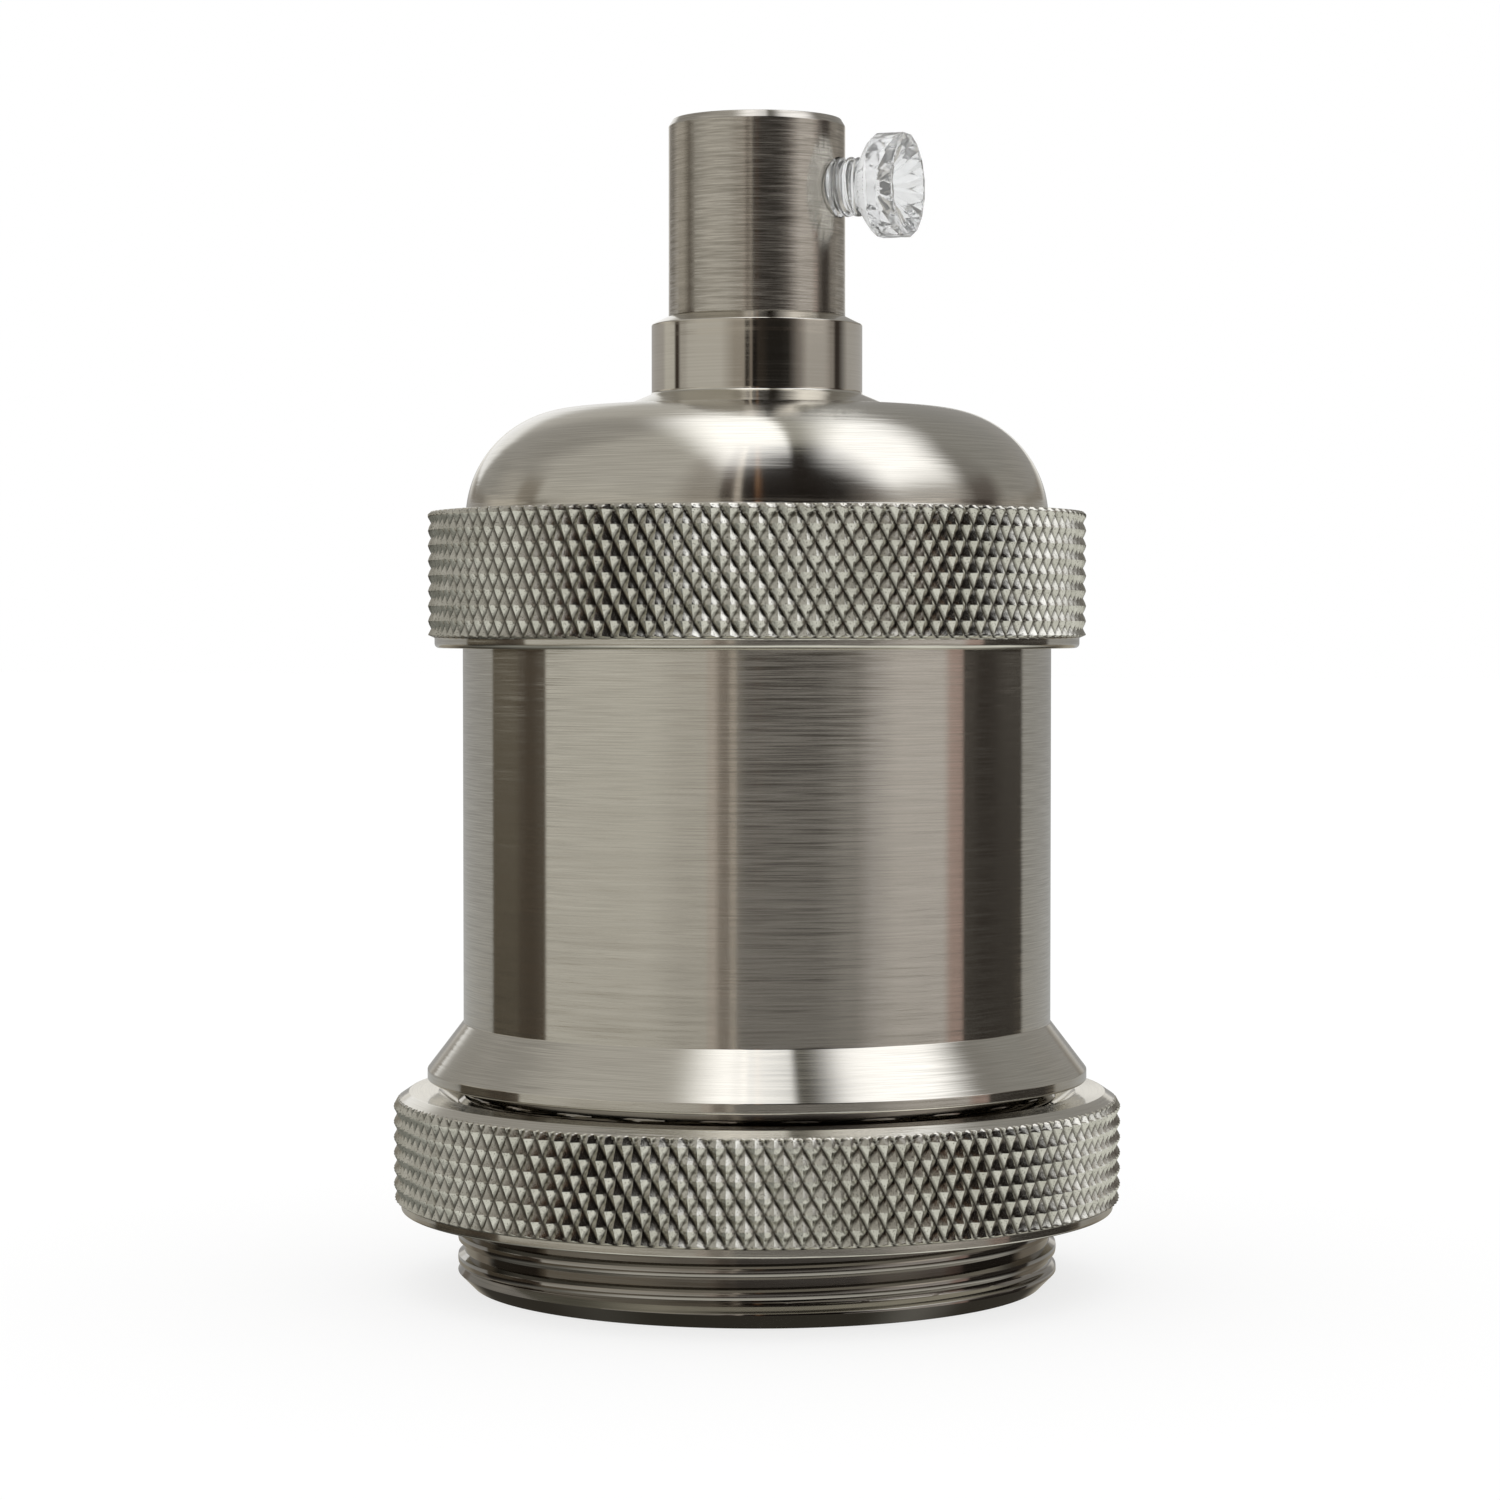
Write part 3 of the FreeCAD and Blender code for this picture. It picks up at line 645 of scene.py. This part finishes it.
def shade_ring_piece():
    """Shade ring: a knurled band between a turned foot and a bevel, with a threaded bore."""
    outer, bottom, top = ring_high[0], ring_low[2], ring_high[2]
    bevel_foot = top - RING_BEVEL[1]
    tip = outer - KNURL_SET_IN
    root = tip - KNURL_DEPTH
    plain = root - KNURL_FOOT_STEP
    band_low = bottom + RING_FOOT
    runout = band_low - 0.1
    grid = knurl_grid(outer, band_low, bevel_foot - RING_MARGIN)
    slope = RING_BEVEL[0] / RING_BEVEL[1]

    def limit(z):
        return min(plain + max(0.0, z - runout) * KNURL_RUNOUT, outer - (z - bevel_foot) * slope)

    bevel_root = bevel_foot + (outer - root) / slope
    band, folds = knurl_band(bottom + 0.45, bevel_root + 0.04, band_low, grid, tip, limit)
    inner = NECK_RADIUS + THREAD_CLEAR
    count = grid[0] * KNURL_COLUMNS // FINE
    foot = softened((inner, bottom, 0.1), (plain, bottom, 0.12), (plain, bottom + 3, 0),
                    (inner, bottom + 3, 0))
    head = softened((outer - (bevel_root + 0.1 - bevel_foot) * slope, bevel_root + 0.1, 0),
                    (outer - RING_BEVEL[0], top, 0.1), (inner + RING_ENTRY, top, 0.1),
                    (inner, top - RING_ENTRY, 0.1), (inner, bottom, 0))
    rows = lathe_rows(foot[:2 * EDGE_POINTS], count)
    flips = {len(rows) + i: fold for i, fold in enumerate(folds[:-1])}
    rows += band + lathe_rows(head[:1 + 3 * EDGE_POINTS], count)
    rows += bore_rows(top - RING_ENTRY - 0.1, bottom + 0.4, inner, NECK_THREAD, count)

    def zones(middles):
        return knurl_zone(middles, runout, bevel_foot + 0.2, root - 0.03)

    return rows_object("shade_ring_shell", rows, [NICKEL, KNURL_NICKEL], flips=flips, material_of=zones)


def knurl_zone(middles, low, high, radius):
    """1 for faces of the knurled band, 0 elsewhere."""
    out = np.hypot(middles[:, 0], middles[:, 1]) > radius
    return (out & (middles[:, 2] > low) & (middles[:, 2] < high)).astype(int)


def cap_piece():
    """Cap: knurled band, dome, boss and collar turned from one piece, hollow inside."""
    outer, bottom = cap_high[0], cap_low[2]
    band_top = bottom + CAP_BAND
    dome_top = band_top + DOME_RISE
    collar_top = cap_high[2]
    tip = outer - KNURL_SET_IN
    root = tip - KNURL_DEPTH
    plain = root - KNURL_FOOT_STEP
    band_low = bottom + CAP_FOOT
    runout = band_low - 0.12
    grid = knurl_grid(outer, band_low, band_top - CAP_MARGIN)

    def limit(z):
        top_edge = outer - 0.1 - max(0.0, z - (band_top - 0.22)) * 1.1
        return min(plain + max(0.0, z - runout) * KNURL_RUNOUT, top_edge)

    band, folds = knurl_band(bottom + 0.5, band_top - 0.04, band_low, grid, tip, limit)
    count = grid[0] * KNURL_COLUMNS // FINE
    inner = TUBE_RADIUS + THREAD_CLEAR
    bore = nipple_high[0] + NIPPLE_CLEAR
    room = DOME_RADIUS - DOME_WALL
    foot = softened((inner + 0.4, bottom, 0.08), (plain, bottom, 0.3), (plain, bottom + 3, 0),
                    (inner, bottom + 3, 0))
    centre = (DOME_RADIUS - DOME_CORNER, dome_top - DOME_CORNER)
    lift = math.asin((band_top - centre[1]) / DOME_CORNER)
    bend = np.linspace(lift, math.pi / 2, 40)
    dome = np.stack([centre[0] + DOME_CORNER * np.cos(bend), centre[1] + DOME_CORNER * np.sin(bend)], 1)
    shoulder = softened((root - 0.1, band_top, 0), (dome[0, 0], band_top, 0.12), (dome[3, 0], dome[3, 1], 0),
                        (root, dome[3, 1], 0))
    boss_top = dome_top + BOSS_HEIGHT
    neck = softened((centre[0] - 0.4, dome_top, 0), (BOSS_RADIUS + 0.1, dome_top, 0.05),
                    (BOSS_RADIUS, dome_top - 0.08, 0.04), (BOSS_RADIUS - 0.1, dome_top + 0.12, 0.08),
                    (COLLAR_RADIUS, boss_top, 0.18),
                    (COLLAR_RADIUS, collar_top - COLLAR_CHAMFER, 0.1),
                    (grip_high[1] + 0.15, collar_top, 0.08), (bore, collar_top, 0), (bore, dome_top - 3, 0))
    ceiling = dome_top - DOME_WALL
    turn = np.linspace(math.pi / 2, 0, 16)
    small = DOME_CORNER - DOME_WALL
    hollow = np.stack([centre[0] + small * np.cos(turn), centre[1] + small * np.sin(turn)], 1)
    rows = lathe_rows(foot[:2 * EDGE_POINTS], count)
    flips = {len(rows) + i: fold for i, fold in enumerate(folds[:-1])}
    rows += band
    rows += lathe_rows([(root - 0.2, band_top - 0.005)] + shoulder[1:1 + EDGE_POINTS], count)
    rows += lathe_rows(list(dome[1:]) + neck[:-1], count)
    inside = [(bore, ceiling + 0.3), (bore + 0.2, ceiling)] + list(hollow)
    step = softened((room, hollow[-1][1], 0), (room, barrel_high[2], 0.1), (inner - 0.2, barrel_high[2], 0.1),
                    (inner - 0.2, bottom, 0))
    rows += lathe_rows(inside + step[1:1 + 2 * EDGE_POINTS], count)
    rows += bore_rows(barrel_high[2] - 0.3, bottom + 0.5, inner, NECK_THREAD, count)

    def zones(middles):
        index = knurl_zone(middles, runout, band_top - 0.15, root - 0.03)
        radius = np.hypot(middles[:, 0], middles[:, 1])
        on_collar = (middles[:, 2] > boss_top + 0.1) & (radius > bore + 0.1)
        return np.where(on_collar, 2, index)

    materials = [NICKEL, KNURL_NICKEL, COLLAR_NICKEL]
    return rows_object("cap_shell", rows, materials, flips=flips, material_of=zones)


def knurl_height_attribute(piece, tip):
    """Stores how high each point stands in the knurl, from 0 in a groove to 1 on a tip."""
    mesh = piece.data
    co = np.empty(len(mesh.vertices) * 3, np.float32)
    mesh.vertices.foreach_get("co", co)
    co = co.reshape(-1, 3) / MM
    height = 1 - (tip - np.hypot(co[:, 0], co[:, 1])) / KNURL_DEPTH
    layer = mesh.attributes.new("knurl_height", "FLOAT", "POINT")
    layer.data.foreach_set("value", np.clip(height, 0, 1).astype(np.float32))


def cord_grip_piece():
    """Cord grip: a plain tube with a step for the nipple and a side hole for the thumb screw."""
    count = 192
    bottom, top = grip_low[2], grip_high[2]
    outer = grip_high[1]
    step = nipple_high[2] + GRIP_STEP_ABOVE_NIPPLE
    wide = nipple_high[0] + NIPPLE_CLEAR
    profile = softened((wide, bottom, 0.08), (outer, bottom, 0.1), (outer, top - GRIP_CHAMFER[1], 0.15),
                       (outer - GRIP_CHAMFER[0], top, 0.1), (CORD_RADIUS, top, 0.12),
                       (CORD_RADIUS, step, 0.05), (wide, step, 0))
    tube = rows_object("cord_grip_tube", lathe_rows(profile, count), [GRIP_NICKEL])
    reach = (1.0, 3.0, 5.0, 9.0)
    hole = lathe_rows([(THUMB_RADIUS + THREAD_CLEAR, x) for x in reach], 64)
    rows = laid_along_x([on_axis(reach[0])] + hole + [on_axis(reach[-1])], top - THUMB_DROP)
    cutter = rows_object("hole_cutter", rows, [GRIP_NICKEL], closed=False)
    cut = tube.modifiers.new("side_hole", "BOOLEAN")
    cut.operation = "DIFFERENCE"
    cut.solver = "EXACT"
    cut.object = cutter
    finished = bpy.data.meshes.new_from_object(tube.evaluated_get(bpy.context.evaluated_depsgraph_get()))
    tube.modifiers.clear()
    tube.data = finished
    finished.set_sharp_from_angle(angle=math.radians(30))
    bpy.data.objects.remove(cutter)
    return tube


def nipple_piece():
    """Nipple: a hollow tube threaded from end to end."""
    count = 96
    low, high, outer = nipple_low[2], nipple_high[2], nipple_high[0]
    inner = outer - NIPPLE_WALL

    def limit(z):
        return outer - 0.35 + np.minimum(z - low, high - z) * 1.2

    rows = []
    threads = [add_thread(rows, thread_rows(low, high, outer, NIPPLE_THREAD, count, limit))]
    edge = 0.15
    bore = [(inner + edge, high), (inner, high - edge), (inner, low + edge), (inner + edge, low)]
    return rows_object("nipple_tube", rows + lathe_rows(bore, count), [ZINC], threads=threads)


def thumb_screw_piece():
    """Thumb screw laid along +X: threaded shank, cone, and a head with flats and a grooved dish.

    On the dish, each groove is a straight V whose floor rises with the distance from the
    groove's middle line.
    """
    count = THUMB_FLATS * 16
    turn = angles(count)
    tip, face = thumb_low[0], thumb_high[0]
    head = thumb_high[1]
    off_flat = (turn + math.pi / THUMB_FLATS) % (TURN / THUMB_FLATS) - math.pi / THUMB_FLATS
    flat = np.minimum(head, (head - THUMB_FLAT_DEPTH) / np.cos(off_flat) - 0.005)
    dish = head - THUMB_RIM_WALL

    def row_at(radius, x):
        return ring_row(radius, x, count)

    rows = [on_axis(tip), row_at(THUMB_RADIUS - 0.6, tip), row_at(THUMB_RADIUS - 0.5, tip + 0.05)]
    shank = thread_rows(tip + 0.3, THUMB_NECK - 0.35, THUMB_RADIUS, THUMB_THREAD, count)
    threads = [add_thread(rows, shank)]
    rows += [row_at(THUMB_RADIUS - 0.15, THUMB_NECK - 0.2), row_at(THUMB_RADIUS, THUMB_NECK)]
    for share in np.linspace(0.1, 1, 12):
        swell = THUMB_RADIUS + (flat - THUMB_RADIUS) * (share + 0.12 * math.sin(math.pi * share))
        rows.append(row_at(swell, THUMB_NECK + THUMB_CONE * share))
    rim = 0.18
    bend = np.linspace(0, math.pi / 2, 7)
    rows += [row_at(flat - rim * (1 - math.cos(b)), face - rim + rim * math.sin(b)) for b in bend]
    rows.append(row_at(dish + 0.08, face))
    for radius in np.linspace(dish, THUMB_HUB, 26):
        floor = face - THUMB_DISH * (dish - radius) / (dish - THUMB_HUB)
        aside = np.abs(radius * np.sin(off_flat))
        groove = np.maximum(0, THUMB_GROOVE_DEPTH - aside / THUMB_GROOVE_SLOPE)
        near_rim = min(1.0, (dish - radius) / 0.25 + 0.15)
        rows.append(row_at(radius, floor - groove * near_rim))
    bottom = face - THUMB_DISH - THUMB_GROOVE_DEPTH + 0.15
    rows += [row_at(THUMB_HUB * 0.5, bottom), on_axis(bottom)]
    rows = laid_along_x(rows, grip_high[2] - THUMB_DROP)
    return rows_object("thumb_screw", rows, [ACRYLIC], closed=False, threads=threads, sharp=24.0)


def screw_shell_piece():
    """Screw shell: sheet rolled to the bulb's thread, r = mean + swing * cos(360 z / pitch - angle)."""
    count = 180
    low, high = shell_low[2], shell_high[2]
    heights = np.linspace(low + SHELL_PLAIN * 0.6, high - SHELL_PLAIN, 120)
    turn = angles(count)

    def wall(z, offset):
        fade = np.clip(min(z - heights[0], heights[-1] - z) / SHELL_PLAIN, 0, 1)
        wave = np.cos(TURN * z / SHELL_PITCH - turn)
        return ring_row(SHELL_MEAN_RADIUS + offset + SHELL_SWING * fade * wave, z, count)

    inside = [wall(z, 0.0) for z in heights]
    outside = [wall(z, SHELL_SHEET) for z in heights[::-1]]
    outer = SHELL_MEAN_RADIUS + SHELL_SHEET
    mouth = lathe_rows([(outer, low + 0.1), (outer - 0.1, low), (SHELL_MEAN_RADIUS + 0.1, low),
                        (SHELL_MEAN_RADIUS, low + 0.1)], count)
    floor = high - SHELL_SHEET
    flange = lathe_rows([(SHELL_MEAN_RADIUS, floor - 0.5), (SHELL_MEAN_RADIUS - 0.15, floor - 0.15),
                         (SHELL_MEAN_RADIUS - 0.5, floor), (SHELL_HOLE, floor), (SHELL_HOLE, high),
                         (outer - 0.4, high), (outer, high - 0.4)], count)
    return rows_object("screw_shell_sheet", mouth + inside + flange + outside, [SHELL_NICKEL], sharp=40.0)


pieces = [
    (barrel_piece, "holder", "nickel_barrel", "barrel"),
    (shade_ring_piece, "shade_ring", "nickel_ring", "shade_ring"),
    (cap_piece, "cap", "nickel_cap", "cap"),
    (cord_grip_piece, "cord_grip", "nickel_grip", "cord_grip"),
    (nipple_piece, "cap", "zinc_steel", "nipple"),
    (thumb_screw_piece, "grip_screw", "clear_plastic", "grip_screw"),
    (screw_shell_piece, "holder", "nickel_shell", "screw_shell"),
]
for make, body, slot, node in pieces:
    piece = make()
    if node in ("shade_ring", "cap"):
        knurl_height_attribute(piece, box_mm(node)[1][0] - KNURL_SET_IN)
    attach(piece, body)
    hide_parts(node)

finishes = {"zinc_steel": ZINC, "brass": BRASS, "spring_bronze": BRONZE, "porcelain": PORCELAIN}
for part in frame["record"]["subparts"]:
    finish = finishes.get(part["material_slot"])
    if finish is not None:
        mesh = frame["nodes"][part["node"]].data
        mesh.materials.clear()
        mesh.materials.append(finish)


# Studio

toward_camera = np.array([math.sin(CAMERA_AZIMUTH), -math.cos(CAMERA_AZIMUTH), 0.0])
camera_right = np.array([math.cos(CAMERA_AZIMUTH), math.sin(CAMERA_AZIMUTH), 0.0])


def make_camera():
    """The camera that took the photo."""
    camera = bpy.data.objects.new("photo_camera", bpy.data.cameras.new("photo_camera"))
    place = CAMERA_DISTANCE * toward_camera + CAMERA_SIDE * camera_right + np.array([0, 0, CAMERA_HEIGHT])
    camera.location = place * MM
    camera.rotation_euler = (math.pi / 2 - CAMERA_PITCH, 0, CAMERA_AZIMUTH)
    camera.data.lens = CAMERA_LENS
    camera.data.sensor_width = SENSOR_WIDTH
    camera.data.clip_start = 0.01
    bpy.context.scene.collection.objects.link(camera)
    bpy.context.scene.camera = camera


def make_floor():
    """A pale floor that shows only the soft shadow of the part."""
    half = 3.0
    corners = [(-half, -half, 0), (half, -half, 0), (half, half, 0), (-half, half, 0)]
    mesh = bpy.data.meshes.new("floor")
    mesh.from_pydata(corners, [], [(0, 1, 2, 3)])
    floor = bpy.data.objects.new("floor", mesh)
    floor.location.z = -0.02 * MM
    material = bpy.data.materials.new("pale_floor")
    material.use_nodes = True
    tree = material.node_tree
    tree.nodes.clear()
    matt = add(tree, "ShaderNodeBsdfDiffuse", {"Color": (0.3, 0.3, 0.3, 1)})
    glow = add(tree, "ShaderNodeEmission", {"Color": (1, 1, 1, 1), "Strength": 0.72})
    both = add(tree, "ShaderNodeAddShader", {0: matt.outputs[0], 1: glow.outputs[0]})
    add(tree, "ShaderNodeOutputMaterial", {"Surface": both.outputs[0]})
    mesh.materials.append(material)
    floor.visible_glossy = False
    bpy.context.scene.collection.objects.link(floor)


def card_ramp(tree, source, cards):
    """A ramp over the full turn round the part.

    Each card is (from, to, colour) in degrees from the camera.
    """
    node = add(tree, "ShaderNodeValToRGB", {0: source})
    stops = [(angle, code) for start, end, code in cards for angle in (start, end)]
    for angle, code in stops[2:]:
        node.color_ramp.elements.new((angle + 180) / 360)
    for element, (angle, code) in zip(node.color_ramp.elements, stops):
        element.position = (angle + 180) / 360
        element.color = colour(code)
    return node.outputs["Color"]


# Light and dark cards round the part: angles to the right of the camera, in degrees
TABLE_CARDS = [
    (-180, -145, "#45423C"), (-112, -85, "#8F908C"), (-50, 112, "#F0F1ED"), (145, 180, "#45423C"),
]
NECK_CARDS = [
    (-180, -158, "#9C968A"), (-148, -146, "#A59F92"), (-140, -131, "#8A8276"), (-126, -95, "#2A2622"),
    (-89, -45, "#756C5E"), (-30, -18, "#5A5247"), (-10, 38, "#37322D"), (48, 62, "#5A5349"),
    (70, 80, "#4A4038"), (86, 118, "#26221F"), (126, 140, "#8A8276"), (150, 180, "#A39D90"),
]
BARREL_CARDS = [
    (-180, -125.2, "#B2B2B0"), (-124.2, -107, "#5F584D"), (-104, -89.6, "#534A40"), (-88.6, -40, "#DEDDD8"),
    (-30, -19.6, "#D6D4CF"), (-19.1, -18.7, "#A49C95"), (-18.2, -15.8, "#D8D0CA"), (-15, -10.6, "#A8A09A"),
    (-10, -7.8, "#C8C0B9"), (-7.2, 22, "#A19E9D"), (34, 38, "#B0ADAC"), (45, 46, "#CCC8C8"),
    (54, 76, "#DAD6D5"), (80, 85.6, "#BFA6A0"), (86.6, 124, "#3F3B38"), (126, 180, "#ADADAC"),
]
BARREL_TOP_CARDS = [
    (-180, -125.2, "#A2A19F"), (-124.2, -107, "#5A5347"), (-104, -89.6, "#4A4138"), (-88.6, -40, "#CCCBC6"),
    (-30, -19.6, "#C4C2BD"), (-19.1, -18.7, "#8F8780"), (-18.2, -15.8, "#C2B8B2"), (-15, -10.6, "#786C65"),
    (-10, -7.8, "#B0A79E"), (-7.2, 24, "#63605E"), (34, 38, "#8F8C8A"), (45, 46, "#B4B1B1"),
    (54, 76, "#C4C0BF"), (80, 85.6, "#AF9A95"), (86.6, 124, "#383431"), (126, 180, "#9C9B99"),
]
COLLAR_CARDS = [
    (-180, -125, "#AFACA9"), (-118, -103, "#CAC8C2"), (-99.5, -96, "#3A332D"), (-92, -86, "#B4B1AC"),
    (-80, -40, "#C4C2BD"), (-24, -14, "#9B958D"), (-12, -8.8, "#0F0C0A"), (-7.2, -5.8, "#827A72"),
    (-4.6, -0.6, "#0D0B09"), (0.5, 6, "#322D28"), (13, 34, "#1B1A18"), (46, 47, "#7F7A77"),
    (57, 80, "#B2AFAC"), (89, 91, "#98938F"), (95.5, 100, "#3D3835"), (117, 180, "#B4B2B0"),
]
GRIP_CARDS = [
    (-180, -168, "#F0EEE9"), (-156, -140, "#857F77"), (-126, -112, "#D8D2C8"), (-101, -86, "#8D8880"),
    (-66, -45, "#CFCAC1"), (-30, -9, "#C6C0B7"), (-2, -1, "#5A524D"), (6, 27, "#3C3733"),
    (40, 41, "#6E6762"), (50, 51, "#C6BFB9"), (58, 76, "#F5EEE8"), (88, 91, "#5A4F4A"),
    (96, 104, "#3A322E"), (113, 125, "#AEA8A1"), (135, 156, "#8A847C"), (168, 180, "#F0EEE9"),
]
DOME_CARDS = [
    (-180, -155, "#FFFFFF"), (-150, -134, "#A19F9B"), (-121, -113, "#B5B2AD"), (-109, -100, "#958F87"),
    (-96, -60, "#C9C7C2"), (-48, -38, "#BFBDB8"), (-26, -16, "#9E9993"), (-13.8, -10, "#3C342F"),
    (-8.8, -7, "#C0B8B0"), (-6, -0.8, "#15110F"), (0, 0.8, "#6B4A33"), (1.8, 34, "#191513"),
    (46, 47, "#6E6865"), (60, 86, "#B9B6B4"), (98, 108, "#6B6562"), (118, 180, "#9D9B98"),
]
HIGH_CARDS = [
    (-180, -158, "#C4C2BE"), (-150, -116, "#A5A3A0"), (-98, -36, "#C1BFBB"), (-26, -16, "#A8A49F"),
    (-13.8, -10, "#615852"), (-8.8, -7, "#C0B8B0"), (-6, -0.8, "#2E2825"), (0, 0.8, "#8A6A50"),
    (1.8, 32, "#25211F"), (46, 47, "#5A5654"), (60, 90, "#A9A7A5"), (100, 110, "#8F8D8B"),
    (120, 180, "#9A9997"),
]

# Rings of cards from the table up. Each fades in between two angles above the horizon, in degrees.
RINGS = [
    (TABLE_CARDS, -68, -54), (NECK_CARDS, -24, -13), (BARREL_CARDS, -8.8, -7.4), (BARREL_TOP_CARDS, -6.5, 0),
    (COLLAR_CARDS, 2.4, 3.2), (GRIP_CARDS, 4.45, 4.6), (DOME_CARDS, 8, 10), (HIGH_CARDS, 20, 28),
]
UNDERNEATH = colour("#4A4842")
CEILING = colour("#B6B5B0")
CEILING_RISE = (62, 76)

# Softbox: its red, green and blue light, and its bounds along u = right / up and w = front / up.
# Each bound says where its light starts to rise and where it is full.
SOFTBOX = (1.27, 1.3, 1.4)
GAP_SLOPE = 0.19
GAP_PLACE = 0.145
LEFT_OUTER = (-0.42, -0.13)
LEFT_INNER = (-0.02, -0.07)
RIGHT_INNER = (-0.01, 0.24)
RIGHT_OUTER = (2.8, 1.0)
BOX_FRONT = (0.5, -0.3)
BOX_BACK = (-0.8, -0.25)
FRONT_PLACE = 0.34
FRONT_MIDDLE = 0.25
FRONT_SWEEP_LEFT = 1.1
FRONT_SWEEP_RIGHT = 0.62
BACK_START = 0.35
BACK_LENGTH = 0.7
BACK_SWEEP = 0.6


def make_world():
    """White to the camera and to matt surfaces, and a studio for metal to reflect.

    Cards stand in rings, one above the other, from the table up. Above them hangs a softbox
    in two halves, which meet at the dim line u = GAP_PLACE + GAP_SLOPE * w. Its front edge
    is at w = FRONT_PLACE over u = FRONT_MIDDLE and sweeps forward on both sides.
    """
    world = bpy.data.worlds.new("studio")
    bpy.context.scene.world = world
    world.use_nodes = True
    world.cycles.sampling_method = "NONE"
    tree = world.node_tree
    tree.nodes.clear()

    def math_node(operation, first, second=0.0):
        return number_node(tree, operation, first, second)

    def step(source, start, full):
        """A smooth step from 0 at start to 1 at full, which may lie on either side of start."""
        return ranged(tree, source, float(start > full), float(start < full),
                      start=min(start, full), end=max(start, full), interpolation_type="SMOOTHSTEP")

    def mixed(factor, low, high):
        return add(tree, "ShaderNodeMix", {0: factor, 6: low, 7: high}, data_type="RGBA").outputs[2]

    ray = add(tree, "ShaderNodeTexCoord").outputs["Generated"]
    front = vector_node(tree, "DOT_PRODUCT", ray, tuple(toward_camera), output="Value")
    right = vector_node(tree, "DOT_PRODUCT", ray, tuple(camera_right), output="Value")
    up = add(tree, "ShaderNodeSeparateXYZ", {0: ray}).outputs["Z"]
    share = ranged(tree, math_node("ARCTAN2", right, front), 0.0, 1.0, start=-math.pi, end=math.pi)
    rise = math_node("DEGREES", math_node("ARCSINE", up))
    above = math_node("MAXIMUM", up, 0.05)
    u, w = math_node("DIVIDE", right, above), math_node("DIVIDE", front, above)

    shown = UNDERNEATH
    for cards, low, high in RINGS:
        shown = mixed(step(rise, low, high), shown, card_ramp(tree, share, cards))
    shown = mixed(step(rise, *CEILING_RISE), shown, CEILING)

    def beyond(source, limit):
        return math_node("MAXIMUM", math_node("SUBTRACT", source, limit), 0.0)

    past_gap = math_node("SUBTRACT", u, math_node("ADD", math_node("MULTIPLY", w, GAP_SLOPE), GAP_PLACE))
    left_half = math_node("MULTIPLY", step(u, *LEFT_OUTER), step(past_gap, *LEFT_INNER))
    right_half = math_node("MULTIPLY", step(past_gap, *RIGHT_INNER), step(u, *RIGHT_OUTER))
    to_left = math_node("MULTIPLY", beyond(FRONT_MIDDLE, u), FRONT_SWEEP_LEFT)
    to_right = math_node("MULTIPLY", beyond(u, FRONT_MIDDLE), FRONT_SWEEP_RIGHT)
    past_front = math_node("SUBTRACT", w, math_node("ADD", math_node("ADD", to_left, to_right), FRONT_PLACE))
    back_shift = math_node("MULTIPLY", math_node("MINIMUM", beyond(u, BACK_START), BACK_LENGTH), BACK_SWEEP)
    before_back = math_node("SUBTRACT", w, back_shift)
    box = math_node("MULTIPLY", step(past_front, *BOX_FRONT), step(before_back, *BOX_BACK))
    box = math_node("MULTIPLY", box, math_node("ADD", left_half, right_half))
    strengths = {channel: math_node("MULTIPLY", box, strength) for channel, strength in enumerate(SOFTBOX)}
    light = add(tree, "ShaderNodeCombineColor", strengths).outputs[0]
    shown = vector_node(tree, "ADD", shown, light)

    path = add(tree, "ShaderNodeLightPath")
    plain = math_node("ADD", path.outputs["Is Camera Ray"], path.outputs["Is Diffuse Ray"])
    through = math_node("MULTIPLY", math_node("MINIMUM", path.outputs["Transmission Depth"], 1.0), 0.9)
    plain = math_node("MINIMUM", math_node("ADD", plain, through), 1.0)
    shown = mixed(plain, shown, (1, 1, 1, 1))
    background = add(tree, "ShaderNodeBackground", {"Color": shown, "Strength": 1.0})
    add(tree, "ShaderNodeOutputWorld", {"Surface": background.outputs[0]})


make_camera()
make_floor()
make_world()
bpy.context.scene.view_settings.view_transform = "Standard"
